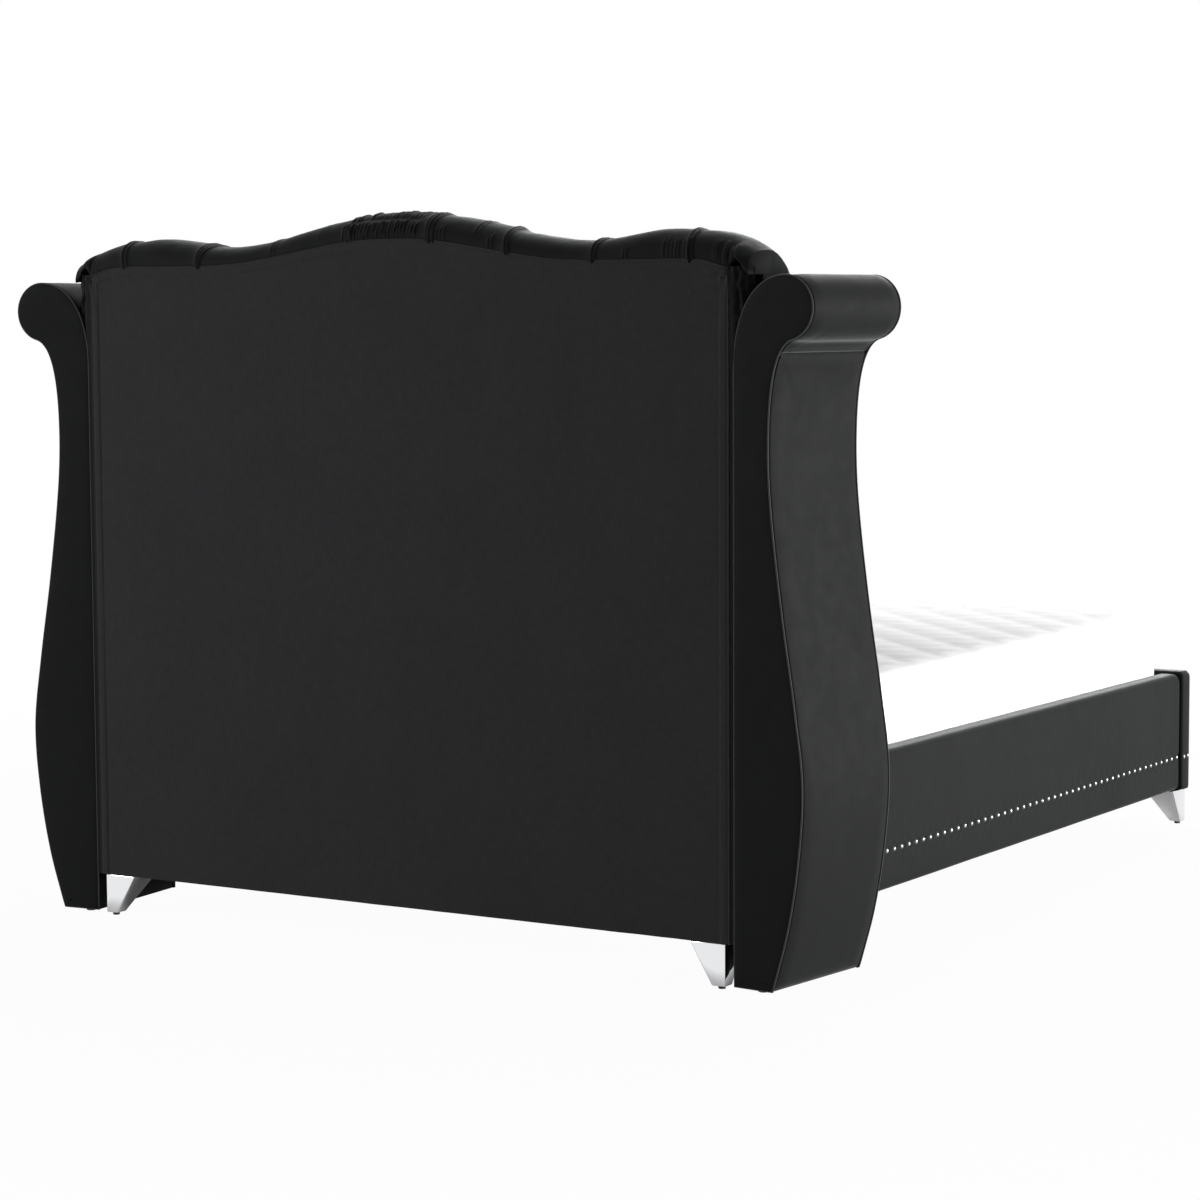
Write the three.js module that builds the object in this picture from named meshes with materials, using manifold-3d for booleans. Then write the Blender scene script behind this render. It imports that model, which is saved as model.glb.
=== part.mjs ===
// A winged sleigh bed for a 140 x 200 cm mattress, as the pieces that it is put together from.
// Millimetres, +Z up. The head end is towards +Y, the foot end towards -Y, and the floor is Z = 0.
// Inside this file a place is given as x (sideways), depth (from the plane of the headboard's
// back towards the foot end, so Y = -depth) and z. At the end the whole bed is moved so that the
// origin lies on the floor, under the middle of the bed.
import * as THREE from "three";
import { mergeVertices } from "three/addons/utils/BufferGeometryUtils.js";
import Module from "manifold-3d";

// ---------------------------------------------------------------- driving dimensions

// Fits between pieces
const GAP = 0.3; // between two pieces that touch
const SOFT_GAP = 1; // between an upholstered piece and its neighbour
const CORNER_EXTRA = 3; // how much rounder a padded corner is than the edges that meet there

// Mattress
const MATTRESS_WIDTH = 1400;
const MATTRESS_LENGTH = 2000;
const MATTRESS_THICKNESS = 220;
const MATTRESS_EDGE = 24; // rounding of its upper and lower edges
const MATTRESS_CORNER = 45; // rounding of its four corners in plan
const MATTRESS_SIDE_GAP = 6; // to each side rail
const MATTRESS_HEAD_GAP = 6; // to the headboard's pad
const MATTRESS_FOOT_GAP = 12; // to the footboard

// Feet
const LEG_HEIGHT = 80;
const LEG_TOP = 75; // side of the square top of a leg
const LEG_TIP = 28; // side of its square lower end
const LEG_INSET = 20; // from the outer side of the headboard frame to the leg
const GLIDE_HEIGHT = 6;
const GLIDE_RADIUS = 7;
const WING_GLIDE_HEIGHT = 8;
const WING_GLIDE_RADIUS = 10;
const WING_GLIDE_EDGE = 34; // from the wing's front and back faces to a glide's centre

// Side rails
const RAIL_HEIGHT = 280;
const RAIL_BOARD = 28;
const RAIL_PADDING = 11;
const RAIL_CORNER = 24; // rounding of the upper corner at the foot end
const RAIL_EDGE = 5; // rounding of the padded edges
const RAIL_RIM = 6; // padding round the board's top, bottom and ends

// Slatted base
const LEDGE = 30; // square section of the batten that carries the slats
const SLAT_THICKNESS = 18;
const SLAT_WIDTH = 100;
const SLAT_COUNT = 10;
const SLAT_END_GAP = 3; // to each side rail
const SLATS_TO_RAIL_TOP = 78; // from the slats' upper side to the top of the rails
const BEAM_WIDTH = 60;
const BEAM_HEIGHT = 60;
const POST = 45; // square section of the posts under the centre beam
const POST_PLACES = [0.34, 0.68]; // along the centre beam
const BRACKET_PLATE = 3;
const BRACKET_LEG = 50;
const BRACKET_HEIGHT = 120;
const BRACKET_RAISE = 26; // from the underside of the rail

// Footboard
const FOOTBOARD_THICKNESS = 46;
const FOOTBOARD_PADDING = 9;
const FOOTBOARD_OVERHANG = 8; // past the outer side of each rail
const FOOTBOARD_RISE = 4; // above the rails
const FOOTBOARD_CORNER = 12;
const FOOTBOARD_EDGE = 7;

// Headboard
const CROWN_HEIGHT = 1428; // highest point of the bed
const HEAD_DEPTH = 172; // from the back cloth to the front of the tufted pad
const CLOTH = 1.4;
const FRAME_THICKNESS = 38;
const PANEL_THICKNESS = 7;
const STILE_WIDTH = 78;
const FRAME_RAIL_HEIGHT = 80;
const CREST_BOARD_HEIGHT = 180; // from its lower edge to the corner of the cloth
const PAD_ROUNDING = 26;
const CLOTH_INSET = 10; // from the wing's inner side to the edge of the back cloth
const CLOTH_DROP = 53; // from the crown to the top of the cloth under it

// Wings
const WING_GAP = 8; // from a rail's outer side to the inner side of the wing
const WING_DEPTH = 287;
const WING_DROP = 130; // from the crown down to the top of the scroll
const WING_FLARE = THREE.MathUtils.degToRad(6.2); // how far the wing opens towards the foot
const WING_BASE = 83; // thickness at the floor
const WING_BELLY = 148; // thickest place, low down
const WING_NECK = 73.5; // thinnest place, below the scroll
const SCROLL_RADIUS = 58;
const SCROLL_REACH = 112; // from the wing's inner side out to the scroll's centre
const COVER = 3; // velvet and wadding over the wing
const FACING = 5; // padded facings of the wing's front and back

// ---------------------------------------------------------------- places that follow from them

const underside = GLIDE_HEIGHT + LEG_HEIGHT;
const railTop = underside + RAIL_HEIGHT;
const slatTop = railTop - SLATS_TO_RAIL_TOP;
const slatUnder = slatTop - SLAT_THICKNESS;
const railInner = MATTRESS_WIDTH / 2 + MATTRESS_SIDE_GAP;
const railOuter = railInner + RAIL_BOARD + RAIL_PADDING;
const wingInner = railOuter + WING_GAP;
const wingHeight = CROWN_HEIGHT - WING_DROP;
const frameHalf = wingInner - GAP;
const clothHalf = wingInner - CLOTH_INSET;
const frameBack = CLOTH + GAP;
const panelBack = frameBack + FRAME_THICKNESS + GAP;
const panelFront = panelBack + PANEL_THICKNESS;
const mattressHead = HEAD_DEPTH + MATTRESS_HEAD_GAP;
const footInner = mattressHead + MATTRESS_LENGTH + MATTRESS_FOOT_GAP;
const footOuter = footInner + FOOTBOARD_THICKNESS;
const flareSlope = Math.tan(WING_FLARE);

// ---------------------------------------------------------------- materials

const paint = (color, roughness, metalness = 0) =>
  new THREE.MeshStandardMaterial({ color, roughness, metalness });

const VELVET = paint(0x242626, 0.75);
const BACK_CLOTH = paint(0x2d2d30, 0.9);
const TIMBER = paint(0xb98f5e, 0.6);
const PLYWOOD = paint(0xc9a878, 0.65);
const FOAM_CORE = paint(0x1d1e1e, 0.9);
const CHROME = paint(0xd8d8da, 0.12, 1);
const BLACK_PLASTIC = paint(0x161616, 0.5);
const STEEL = paint(0x55585c, 0.45, 0.8);
const MATTRESS_CLOTH = paint(0xf1f1ef, 0.85);

// ---------------------------------------------------------------- shaping helpers

const bed = new THREE.Group();

function add(parent, name, geometry, material) {
  const mesh = new THREE.Mesh(geometry, material);
  mesh.name = name;
  parent.add(mesh);
  return mesh;
}

// A box between two x, two depths and two heights.
function block(x, depth, z) {
  const geometry = new THREE.BoxGeometry(x[1] - x[0], depth[1] - depth[0], z[1] - z[0]);
  geometry.translate((x[0] + x[1]) / 2, -(depth[0] + depth[1]) / 2, (z[0] + z[1]) / 2);
  return geometry;
}

// Extrudes an outline between two places of its third direction, with edges rounded by `round`.
function extrude(outline, from, to, round = 0) {
  const geometry = new THREE.ExtrudeGeometry(new THREE.Shape(outline), {
    depth: to - from - 2 * round,
    bevelEnabled: round > 0,
    bevelThickness: round,
    bevelSize: round,
    bevelOffset: -round,
    bevelSegments: 3,
    curveSegments: 6,
  });
  return geometry.translate(0, 0, from + round);
}

// An upright plate: its outline is in x and z, and it reaches from one depth to another.
function upright(outline, from, to, round = 0) {
  return extrude(outline, from, to, round).rotateX(Math.PI / 2);
}

// A lying plate: its outline is in x and depth, and it reaches from one height to another.
function lying(outline, from, to, round = 0) {
  const seen = outline.map((p) => new THREE.Vector2(p.x, -p.y));
  return extrude(seen, from, to, round);
}

// A plate along the bed: its outline is in depth and z, and it reaches from one x to another.
function lengthwise(outline, from, to, round = 0) {
  const axes = new THREE.Matrix4().makeBasis(
    new THREE.Vector3(0, -1, 0),
    new THREE.Vector3(0, 0, 1),
    new THREE.Vector3(-1, 0, 0),
  );
  return extrude(outline, -to, -from, round).applyMatrix4(axes);
}

const points = (...pairs) => pairs.map(([a, b]) => new THREE.Vector2(a, b));

// A rectangle whose corners are rounded by the radii given for
// [low a, low b], [high a, low b], [high a, high b] and [low a, high b].
function roundedRectangle(a, b, radii) {
  const [r0, r1, r2, r3] = radii;
  const shape = new THREE.Shape();
  shape.moveTo(a[0] + r0, b[0]);
  shape.lineTo(a[1] - r1, b[0]);
  shape.absarc(a[1] - r1, b[0] + r1, r1, -Math.PI / 2, 0, false);
  shape.lineTo(a[1], b[1] - r2);
  shape.absarc(a[1] - r2, b[1] - r2, r2, 0, Math.PI / 2, false);
  shape.lineTo(a[0] + r3, b[1]);
  shape.absarc(a[0] + r3, b[1] - r3, r3, Math.PI / 2, Math.PI, false);
  shape.lineTo(a[0], b[0] + r0);
  shape.absarc(a[0] + r0, b[0] + r0, r0, Math.PI, 1.5 * Math.PI, false);
  return withoutRepeats(shape.getPoints(6));
}

function withoutRepeats(outline) {
  return outline.filter((p, i) => {
    const next = outline[(i + 1) % outline.length];
    return p.distanceTo(next) > 0.01;
  });
}

const wasm = await Module();
wasm.setup();

function toSolid(geometry) {
  const bare = geometry.clone();
  bare.deleteAttribute("normal");
  bare.deleteAttribute("uv");
  const merged = mergeVertices(bare, 1e-3);
  const index = merged.index.array;
  return new wasm.Manifold(
    new wasm.Mesh({
      numProp: 3,
      vertProperties: merged.attributes.position.array,
      triVerts: new Uint32Array(index),
    }),
  );
}

// The first geometry with the second one cut out of it.
function cut(geometry, tool) {
  const mesh = toSolid(geometry).subtract(toSolid(tool)).getMesh();
  const result = new THREE.BufferGeometry();
  result.setAttribute("position", new THREE.BufferAttribute(mesh.vertProperties, 3));
  result.setIndex(new THREE.BufferAttribute(mesh.triVerts, 1));
  result.computeVertexNormals();
  return result;
}

// ---------------------------------------------------------------- the serpentine top

// The line of the headboard's top, from the middle out to its corner, as shares of the half
// width and drops below the crown: a high crown, a dip, a low shoulder and a falling corner.
const PAD_LINE = [
  [0, 0],
  [0.127, 6],
  [0.297, 31],
  [0.424, 52],
  [0.52, 59],
  [0.615, 52],
  [0.753, 41],
  [0.87, 47],
  [0.94, 61],
  [1, 84],
];
const PAD_FOLLOWS = 0.5; // share of the wing's outward bend that the pad's ends follow
const CLOTH_LINE = [
  [0, 0],
  [0.12, 3],
  [0.24, 15],
  [0.36, 29],
  [0.48, 41],
  [0.6, 46],
  [0.75, 46],
  [0.92, 48],
  [1, 63],
];
const LINE_SEGMENTS = 18;

// The whole line from -half to +half, `drop` below the crown.
function serpentine(line, half, drop) {
  const side = line.map(([share, fall]) => new THREE.Vector2(share * half, CROWN_HEIGHT - drop - fall));
  const curve = new THREE.SplineCurve(side).getPoints(LINE_SEGMENTS);
  const mirrored = curve.slice(1).map((p) => new THREE.Vector2(-p.x, p.y));
  return [...mirrored.reverse(), ...curve];
}

const clothLine = (half, below = 0) => serpentine(CLOTH_LINE, half, CLOTH_DROP + below);
const clothCorner = CROWN_HEIGHT - CLOTH_DROP - CLOTH_LINE.at(-1)[1];

// An outline closed along a straight lower edge.
function underLine(line, bottom) {
  const first = line[0];
  const last = line.at(-1);
  return [...line, new THREE.Vector2(last.x, bottom), new THREE.Vector2(first.x, bottom)];
}

// ---------------------------------------------------------------- the wing's outline

// The wing seen from behind, in its own directions: u out from its inner side, and z.
// The path goes up the inner side, over the scroll and down the outer side.
const SCROLL_LEAVES = THREE.MathUtils.degToRad(-75); // where the outer side leaves the scroll
const INNER_STRAIGHT = 168; // from the top of the scroll down to where the inner side turns out
const SEAM_SHARE = 0.28; // how far down the throat the scroll's cover ends
const scrollCentre = new THREE.Vector2(SCROLL_REACH, wingHeight - SCROLL_RADIUS);

function wingCurves() {
  const bendStart = new THREE.Vector2(0, wingHeight - INNER_STRAIGHT);
  const scrollTop = new THREE.Vector2(SCROLL_REACH, wingHeight);
  const innerBend = new THREE.CubicBezierCurve(
    bendStart,
    new THREE.Vector2(0, bendStart.y + 0.62 * INNER_STRAIGHT),
    new THREE.Vector2(0.4 * SCROLL_REACH, wingHeight),
    scrollTop,
  );
  const scroll = new THREE.EllipseCurve(
    scrollCentre.x, scrollCentre.y, SCROLL_RADIUS, SCROLL_RADIUS, Math.PI / 2, SCROLL_LEAVES, true,
  );
  const throatStart = scroll.getPoint(1);
  const neck = new THREE.Vector2(WING_NECK, 0.759 * wingHeight);
  const heading = new THREE.Vector2(Math.sin(SCROLL_LEAVES), -Math.cos(SCROLL_LEAVES));
  const throat = new THREE.CubicBezierCurve(
    throatStart,
    throatStart.clone().addScaledVector(heading, 0.7 * SCROLL_RADIUS),
    new THREE.Vector2(neck.x, neck.y + 0.58 * (throatStart.y - neck.y)),
    neck,
  );
  const swell = WING_BELLY - WING_NECK;
  const taper = WING_BELLY - WING_BASE;
  const lowerSide = new THREE.SplineCurve(points(
    [WING_NECK, 0.759 * wingHeight],
    [WING_NECK + 0.08 * swell, 0.675 * wingHeight],
    [WING_NECK + 0.4 * swell, 0.535 * wingHeight],
    [WING_NECK + 0.77 * swell, 0.405 * wingHeight],
    [WING_BELLY, 0.3 * wingHeight],
    [WING_BELLY - 0.12 * taper, 0.2 * wingHeight],
    [WING_BELLY - 0.47 * taper, 0.098 * wingHeight],
    [WING_BASE, WING_GLIDE_HEIGHT],
  ));
  return { bendStart, innerBend, scroll, throat, lowerSide };
}

// Points of a curve between two shares of its length, both ends included.
function sample(curve, from, to, segments) {
  return Array.from({ length: segments + 1 }, (_, i) =>
    curve.getPoint(from + ((to - from) * i) / segments),
  );
}

const joined = (...runs) => withoutRepeats([...runs.flat(), new THREE.Vector2(-1e3, -1e3)]).slice(0, -1);

const wing = wingCurves();
const innerRun = joined([new THREE.Vector2(0, WING_GLIDE_HEIGHT)], sample(wing.innerBend, 0, 1, 9));
const scrollRun = joined(sample(wing.scroll, 0, 1, 14), sample(wing.throat, 0, SEAM_SHARE, 2));
const sideRun = joined(sample(wing.throat, SEAM_SHARE, 1, 6), sample(wing.lowerSide, 0, 1, 20));
const wingPath = joined(innerRun, scrollRun, sideRun);

// The same run of points, moved into the wing by a distance.
function inset(run, distance) {
  return run.map((p, i) => {
    const before = run[Math.max(i - 1, 0)];
    const after = run[Math.min(i + 1, run.length - 1)];
    const along = after.clone().sub(before).normalize();
    return new THREE.Vector2(p.x + along.y * distance, p.y - along.x * distance);
  });
}

// A run with both of its ends drawn back, so that two covers meet with a gap at their seam.
function drawnBack(run, distance) {
  const pull = (end, next) => next.clone().sub(end).setLength(distance).add(end);
  return [pull(run[0], run[1]), ...run.slice(1, -1), pull(run.at(-1), run.at(-2))];
}

// A cover of even thickness over the stretch of the wing's path that a run follows.
function coverOutline(run) {
  const start = wingPath.findIndex((p) => p.distanceTo(run[0]) < GAP);
  const end = start + run.length;
  const outer = drawnBack(wingPath.slice(start, end), GAP);
  const inner = drawnBack(inset(wingPath, COVER).slice(start, end), GAP);
  return [...outer, ...inner.reverse()];
}

// ---------------------------------------------------------------- headboard

function addHeadboard() {
  const frameFront = frameBack + FRAME_THICKNESS;
  const stileTop = clothCorner - CREST_BOARD_HEIGHT;
  const stileInner = frameHalf - STILE_WIDTH;

  add(bed, "headboard_back_cover", upright(underLine(clothLine(clothHalf), underside), 0, CLOTH), BACK_CLOTH);
  add(
    bed,
    "headboard_crest_board",
    upright(underLine(clothLine(frameHalf, GAP), stileTop + GAP), frameBack, frameFront),
    PLYWOOD,
  );
  add(
    bed,
    "headboard_front_panel",
    upright(underLine(clothLine(frameHalf, GAP), underside), panelBack, panelFront),
    PLYWOOD,
  );
  for (const [hand, side] of [["left", -1], ["right", 1]]) {
    const plan = points(
      [side * stileInner, frameBack],
      [side * (frameHalf + frameBack * flareSlope), frameBack],
      [side * (frameHalf + frameFront * flareSlope), frameFront],
      [side * stileInner, frameFront],
    );
    add(bed, `headboard_stile_${hand}`, lying(plan, underside, stileTop), TIMBER);
  }
  const between = [GAP - stileInner, stileInner - GAP];
  const middle = (underside + stileTop) / 2;
  const depths = [frameBack, frameFront];
  const low = [underside, underside + FRAME_RAIL_HEIGHT];
  const high = [middle, middle + FRAME_RAIL_HEIGHT];
  add(bed, "headboard_bottom_rail", block(between, depths, low), TIMBER);
  add(bed, "headboard_middle_rail", block(between, depths, high), TIMBER);
}

// The tufted pad: it stands in front of the panel, rolls back over the crest board to the edge
// of the cloth, and its upper corners follow the wings' inner sides outwards.
function addHeadboardPad() {
  const padBottom = railTop + SOFT_GAP;
  const bend = sample(wing.innerBend, 0, PAD_FOLLOWS, 6).map(
    (p) => new THREE.Vector2(wingInner - SOFT_GAP + p.x, p.y + SOFT_GAP),
  );
  const overScroll = bend.at(-1).x;
  const top = serpentine(PAD_LINE, overScroll, 0);
  const rightSide = [new THREE.Vector2(wingInner - SOFT_GAP, padBottom), ...bend];
  const leftSide = rightSide.map((p) => new THREE.Vector2(-p.x, p.y));
  const outline = withoutRepeats([...top, ...rightSide.reverse(), ...leftSide]);
  const cornerHeight = top.at(-1).y - bend.at(-1).y;
  const rounding = Math.min(PAD_ROUNDING, 0.4 * cornerHeight);
  const whole = upright(outline, frameBack, HEAD_DEPTH, rounding);
  const fan = whole.attributes.position;
  for (let i = 0; i < fan.count; i += 1) {
    const share = Math.min(Math.abs(fan.getX(i)) / wingInner, 1);
    fan.setX(i, fan.getX(i) - Math.sign(fan.getX(i)) * share * fan.getY(i) * flareSlope);
  }
  const room = frameHalf + panelFront * flareSlope + GAP;
  const frameSpace = upright(underLine(clothLine(room), 0), -HEAD_DEPTH, panelFront + GAP);
  add(bed, "headboard_tufted_pad", cut(whole, frameSpace), VELVET);
}

// ---------------------------------------------------------------- wings

function addWing(hand, side) {
  const group = new THREE.Group();
  group.position.x = side * wingInner;
  group.rotation.z = side * WING_FLARE;
  bed.add(group);

  const turned = (run) => run.map((p) => new THREE.Vector2(side * p.x, p.y));
  const coverBack = FACING + GAP;
  const coverFront = WING_DEPTH - FACING - GAP;
  const piece = (name, run, from, to, material) =>
    add(group, `wing_${name}_${hand}`, upright(turned(run), from, to), material);

  piece("back_facing", wingPath, 0, FACING, VELVET);
  piece("front_facing", wingPath, WING_DEPTH - FACING, WING_DEPTH, VELVET);
  piece("core", inset(wingPath, COVER + GAP), coverBack, coverFront, FOAM_CORE);
  piece("inner_cover", coverOutline(innerRun), coverBack, coverFront, VELVET);
  piece("scroll_cover", coverOutline(scrollRun), coverBack, coverFront, VELVET);
  piece("side_cover", coverOutline(sideRun), coverBack, coverFront, VELVET);

  const glideSpots = [["rear", WING_GLIDE_EDGE], ["front", WING_DEPTH - WING_GLIDE_EDGE]];
  for (const [end, depth] of glideSpots) {
    const glide = new THREE.CylinderGeometry(
      WING_GLIDE_RADIUS, WING_GLIDE_RADIUS, WING_GLIDE_HEIGHT - GAP, 16,
    );
    glide.rotateX(Math.PI / 2);
    glide.translate((side * WING_BASE) / 2, -depth, (WING_GLIDE_HEIGHT - GAP) / 2);
    add(group, `wing_glide_${end}_${hand}`, glide, BLACK_PLASTIC);
  }
}

// ---------------------------------------------------------------- legs

// A square block whose two outer faces are upright and whose two inner faces slope, so that it
// narrows to its outer corner at the floor. `outer` is the corner's x and depth, and `inwards`
// gives the directions from there towards the middle of the bed.
function addLeg(name, outer, inwards) {
  const spread = (size) => [outer.x + inwards.x * size, outer.y + inwards.y * size];
  const [topX, topDepth] = spread(LEG_TOP);
  const [tipX, tipDepth] = spread(LEG_TIP);
  const leg = new THREE.BoxGeometry(1, 1, 1);
  const corner = leg.attributes.position;
  for (let i = 0; i < corner.count; i += 1) {
    const isTop = corner.getZ(i) > 0;
    const isOuterX = corner.getX(i) * inwards.x < 0;
    const isOuterDepth = -corner.getY(i) * inwards.y < 0;
    const x = isOuterX ? outer.x : isTop ? topX : tipX;
    const depth = isOuterDepth ? outer.y : isTop ? topDepth : tipDepth;
    corner.setXYZ(i, x, -depth, isTop ? underside - GAP : GLIDE_HEIGHT);
  }
  add(bed, `leg_${name}`, leg, CHROME);

  const [glideX, glideDepth] = spread(LEG_TIP / 2);
  const glide = new THREE.CylinderGeometry(GLIDE_RADIUS, GLIDE_RADIUS, GLIDE_HEIGHT - GAP, 16);
  glide.rotateX(Math.PI / 2);
  glide.translate(glideX, -glideDepth, (GLIDE_HEIGHT - GAP) / 2);
  add(bed, `leg_glide_${name}`, glide, BLACK_PLASTIC);
}

function addLegs() {
  const across = frameHalf - LEG_INSET;
  for (const [hand, side] of [["left", -1], ["right", 1]]) {
    addLeg(`head_${hand}`, { x: side * across, y: frameBack }, { x: -side, y: 1 });
    addLeg(`foot_${hand}`, { x: side * railOuter, y: footOuter - GLIDE_HEIGHT }, { x: -side, y: -1 });
  }
}

// ---------------------------------------------------------------- side rails

function addSideRail(hand, side) {
  const ends = [panelFront + GAP, footInner - GAP];
  const outside = railOuter;
  const small = RAIL_EDGE + CORNER_EXTRA;
  const corners = [small, small, RAIL_CORNER, small];
  const between = (near, far) => (side > 0 ? [near, far] : [-far, -near]);

  const paddedOutline = roundedRectangle(ends, [underside, railTop], corners);
  const padded = lengthwise(paddedOutline, ...between(railInner, outside), RAIL_EDGE);
  const boardOutline = (spare) =>
    roundedRectangle(
      [ends[0] + RAIL_RIM - spare, ends[1] - RAIL_RIM + spare],
      [underside + RAIL_RIM - spare, railTop - RAIL_RIM + spare],
      [1, 1, RAIL_CORNER - RAIL_RIM + spare, 1],
    );
  const pocket = lengthwise(
    boardOutline(GAP),
    ...between(railInner - RAIL_BOARD, railInner + RAIL_BOARD + GAP),
  );
  add(bed, `rail_cover_${hand}`, cut(padded, pocket), VELVET);
  const board = lengthwise(boardOutline(0), ...between(railInner, railInner + RAIL_BOARD));
  add(bed, `rail_board_${hand}`, board, TIMBER);

  const ledge = block(
    between(railInner - GAP - LEDGE, railInner - GAP),
    [mattressHead, footInner - MATTRESS_FOOT_GAP],
    [slatUnder - GAP - LEDGE, slatUnder - GAP],
  );
  add(bed, `slat_ledge_${hand}`, ledge, TIMBER);

  const x = side * (railInner - GAP);
  const inward = -side;
  const heights = [underside + BRACKET_RAISE, underside + BRACKET_RAISE + BRACKET_HEIGHT];
  for (const [end, face, away] of [["head", panelFront + GAP, 1], ["foot", footInner - GAP, -1]]) {
    const corner = points(
      [x, face],
      [x + inward * BRACKET_LEG, face],
      [x + inward * BRACKET_LEG, face + away * BRACKET_PLATE],
      [x + inward * BRACKET_PLATE, face + away * BRACKET_PLATE],
      [x + inward * BRACKET_PLATE, face + away * BRACKET_LEG],
      [x, face + away * BRACKET_LEG],
    );
    add(bed, `rail_bracket_${end}_${hand}`, lying(corner, ...heights), STEEL);
  }
}

// ---------------------------------------------------------------- footboard

function addFootboard() {
  const half = railOuter + FOOTBOARD_OVERHANG;
  const top = railTop + FOOTBOARD_RISE;
  const depths = [footInner, footOuter];
  const small = FOOTBOARD_EDGE + CORNER_EXTRA;
  const corners = [small, small, FOOTBOARD_CORNER, FOOTBOARD_CORNER];
  const outline = roundedRectangle([-half, half], [underside, top], corners);
  const padded = upright(outline, ...depths, FOOTBOARD_EDGE);
  const coreHalf = half - FOOTBOARD_PADDING;
  const coreDepths = [depths[0] + FOOTBOARD_PADDING, depths[1] - FOOTBOARD_PADDING];
  const coreTop = top - FOOTBOARD_PADDING;
  const pocket = block(
    [-coreHalf - GAP, coreHalf + GAP],
    [coreDepths[0] - GAP, coreDepths[1] + GAP],
    [underside - LEG_HEIGHT, coreTop + GAP],
  );
  add(bed, "footboard_cover", cut(padded, pocket), VELVET);
  add(bed, "footboard_core", block([-coreHalf, coreHalf], coreDepths, [underside, coreTop]), TIMBER);
}

// ---------------------------------------------------------------- slatted base

function addSlattedBase() {
  const beamTop = slatUnder - GAP;
  const beamUnder = beamTop - BEAM_HEIGHT;
  const beamEnds = [panelFront + 2 * GAP, footInner - 2 * GAP];
  const half = BEAM_WIDTH / 2;
  add(bed, "centre_beam", block([-half, half], beamEnds, [beamUnder, beamTop]), TIMBER);

  const inner = half + GAP;
  const outer = inner + BRACKET_PLATE;
  const saddleTop = beamUnder + BEAM_HEIGHT / 2;
  const saddle = points(
    [-outer, beamUnder - GAP - BRACKET_PLATE],
    [outer, beamUnder - GAP - BRACKET_PLATE],
    [outer, saddleTop],
    [inner, saddleTop],
    [inner, beamUnder - GAP],
    [-inner, beamUnder - GAP],
    [-inner, saddleTop],
    [-outer, saddleTop],
  );
  const headSaddle = [panelFront + GAP, panelFront + GAP + BRACKET_LEG];
  const footSaddle = [footInner - GAP - BRACKET_LEG, footInner - GAP];
  add(bed, "beam_saddle_head", upright(saddle, ...headSaddle), STEEL);
  add(bed, "beam_saddle_foot", upright(saddle, ...footSaddle), STEEL);

  POST_PLACES.forEach((share, i) => {
    const depth = THREE.MathUtils.lerp(beamEnds[0], beamEnds[1], share);
    const post = block(
      [-POST / 2, POST / 2],
      [depth - POST / 2, depth + POST / 2],
      [0, beamUnder - GAP],
    );
    add(bed, `beam_post_${i + 1}`, post, TIMBER);
  });

  const slatHalf = railInner - SLAT_END_GAP;
  const first = mattressHead + SLAT_WIDTH / 2;
  const last = mattressHead + MATTRESS_LENGTH - SLAT_WIDTH / 2;
  for (let i = 0; i < SLAT_COUNT; i += 1) {
    const depth = THREE.MathUtils.lerp(first, last, i / (SLAT_COUNT - 1));
    const slat = block(
      [-slatHalf, slatHalf],
      [depth - SLAT_WIDTH / 2, depth + SLAT_WIDTH / 2],
      [slatUnder, slatTop],
    );
    add(bed, `slat_${i + 1}`, slat, PLYWOOD);
  }
}

// ---------------------------------------------------------------- mattress

function addMattress() {
  const outline = roundedRectangle(
    [-MATTRESS_WIDTH / 2, MATTRESS_WIDTH / 2],
    [mattressHead, mattressHead + MATTRESS_LENGTH],
    Array(4).fill(MATTRESS_CORNER),
  );
  const bottom = slatTop + GAP;
  add(bed, "mattress", lying(outline, bottom, bottom + MATTRESS_THICKNESS, MATTRESS_EDGE), MATTRESS_CLOTH);
}

// ---------------------------------------------------------------- assembly

addHeadboard();
addHeadboardPad();
addWing("left", -1);
addWing("right", 1);
addLegs();
addSideRail("left", -1);
addSideRail("right", 1);
addFootboard();
addSlattedBase();
addMattress();

// The origin goes on the floor under the middle of the bed.
const middle = new THREE.Box3().setFromObject(bed, true).getCenter(new THREE.Vector3());
bed.position.set(-middle.x, -middle.y, 0);

export default bed;
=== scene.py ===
# %% [markdown]
# # A winged sleigh bed in dark velvet
# The bed stands with its head towards +Y and its foot towards -Y, and the camera looks at it
# from behind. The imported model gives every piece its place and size. This script makes what is
# seen: velvet over foam, a cotton back cloth, chrome legs, nail heads and a quilted mattress.
# Each step has a short note first, then a small cell of code.

import math
import random

import bmesh
import bpy
from mathutils import Matrix, Quaternion, Vector, noise
from mathutils.geometry import interpolate_bezier


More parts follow.
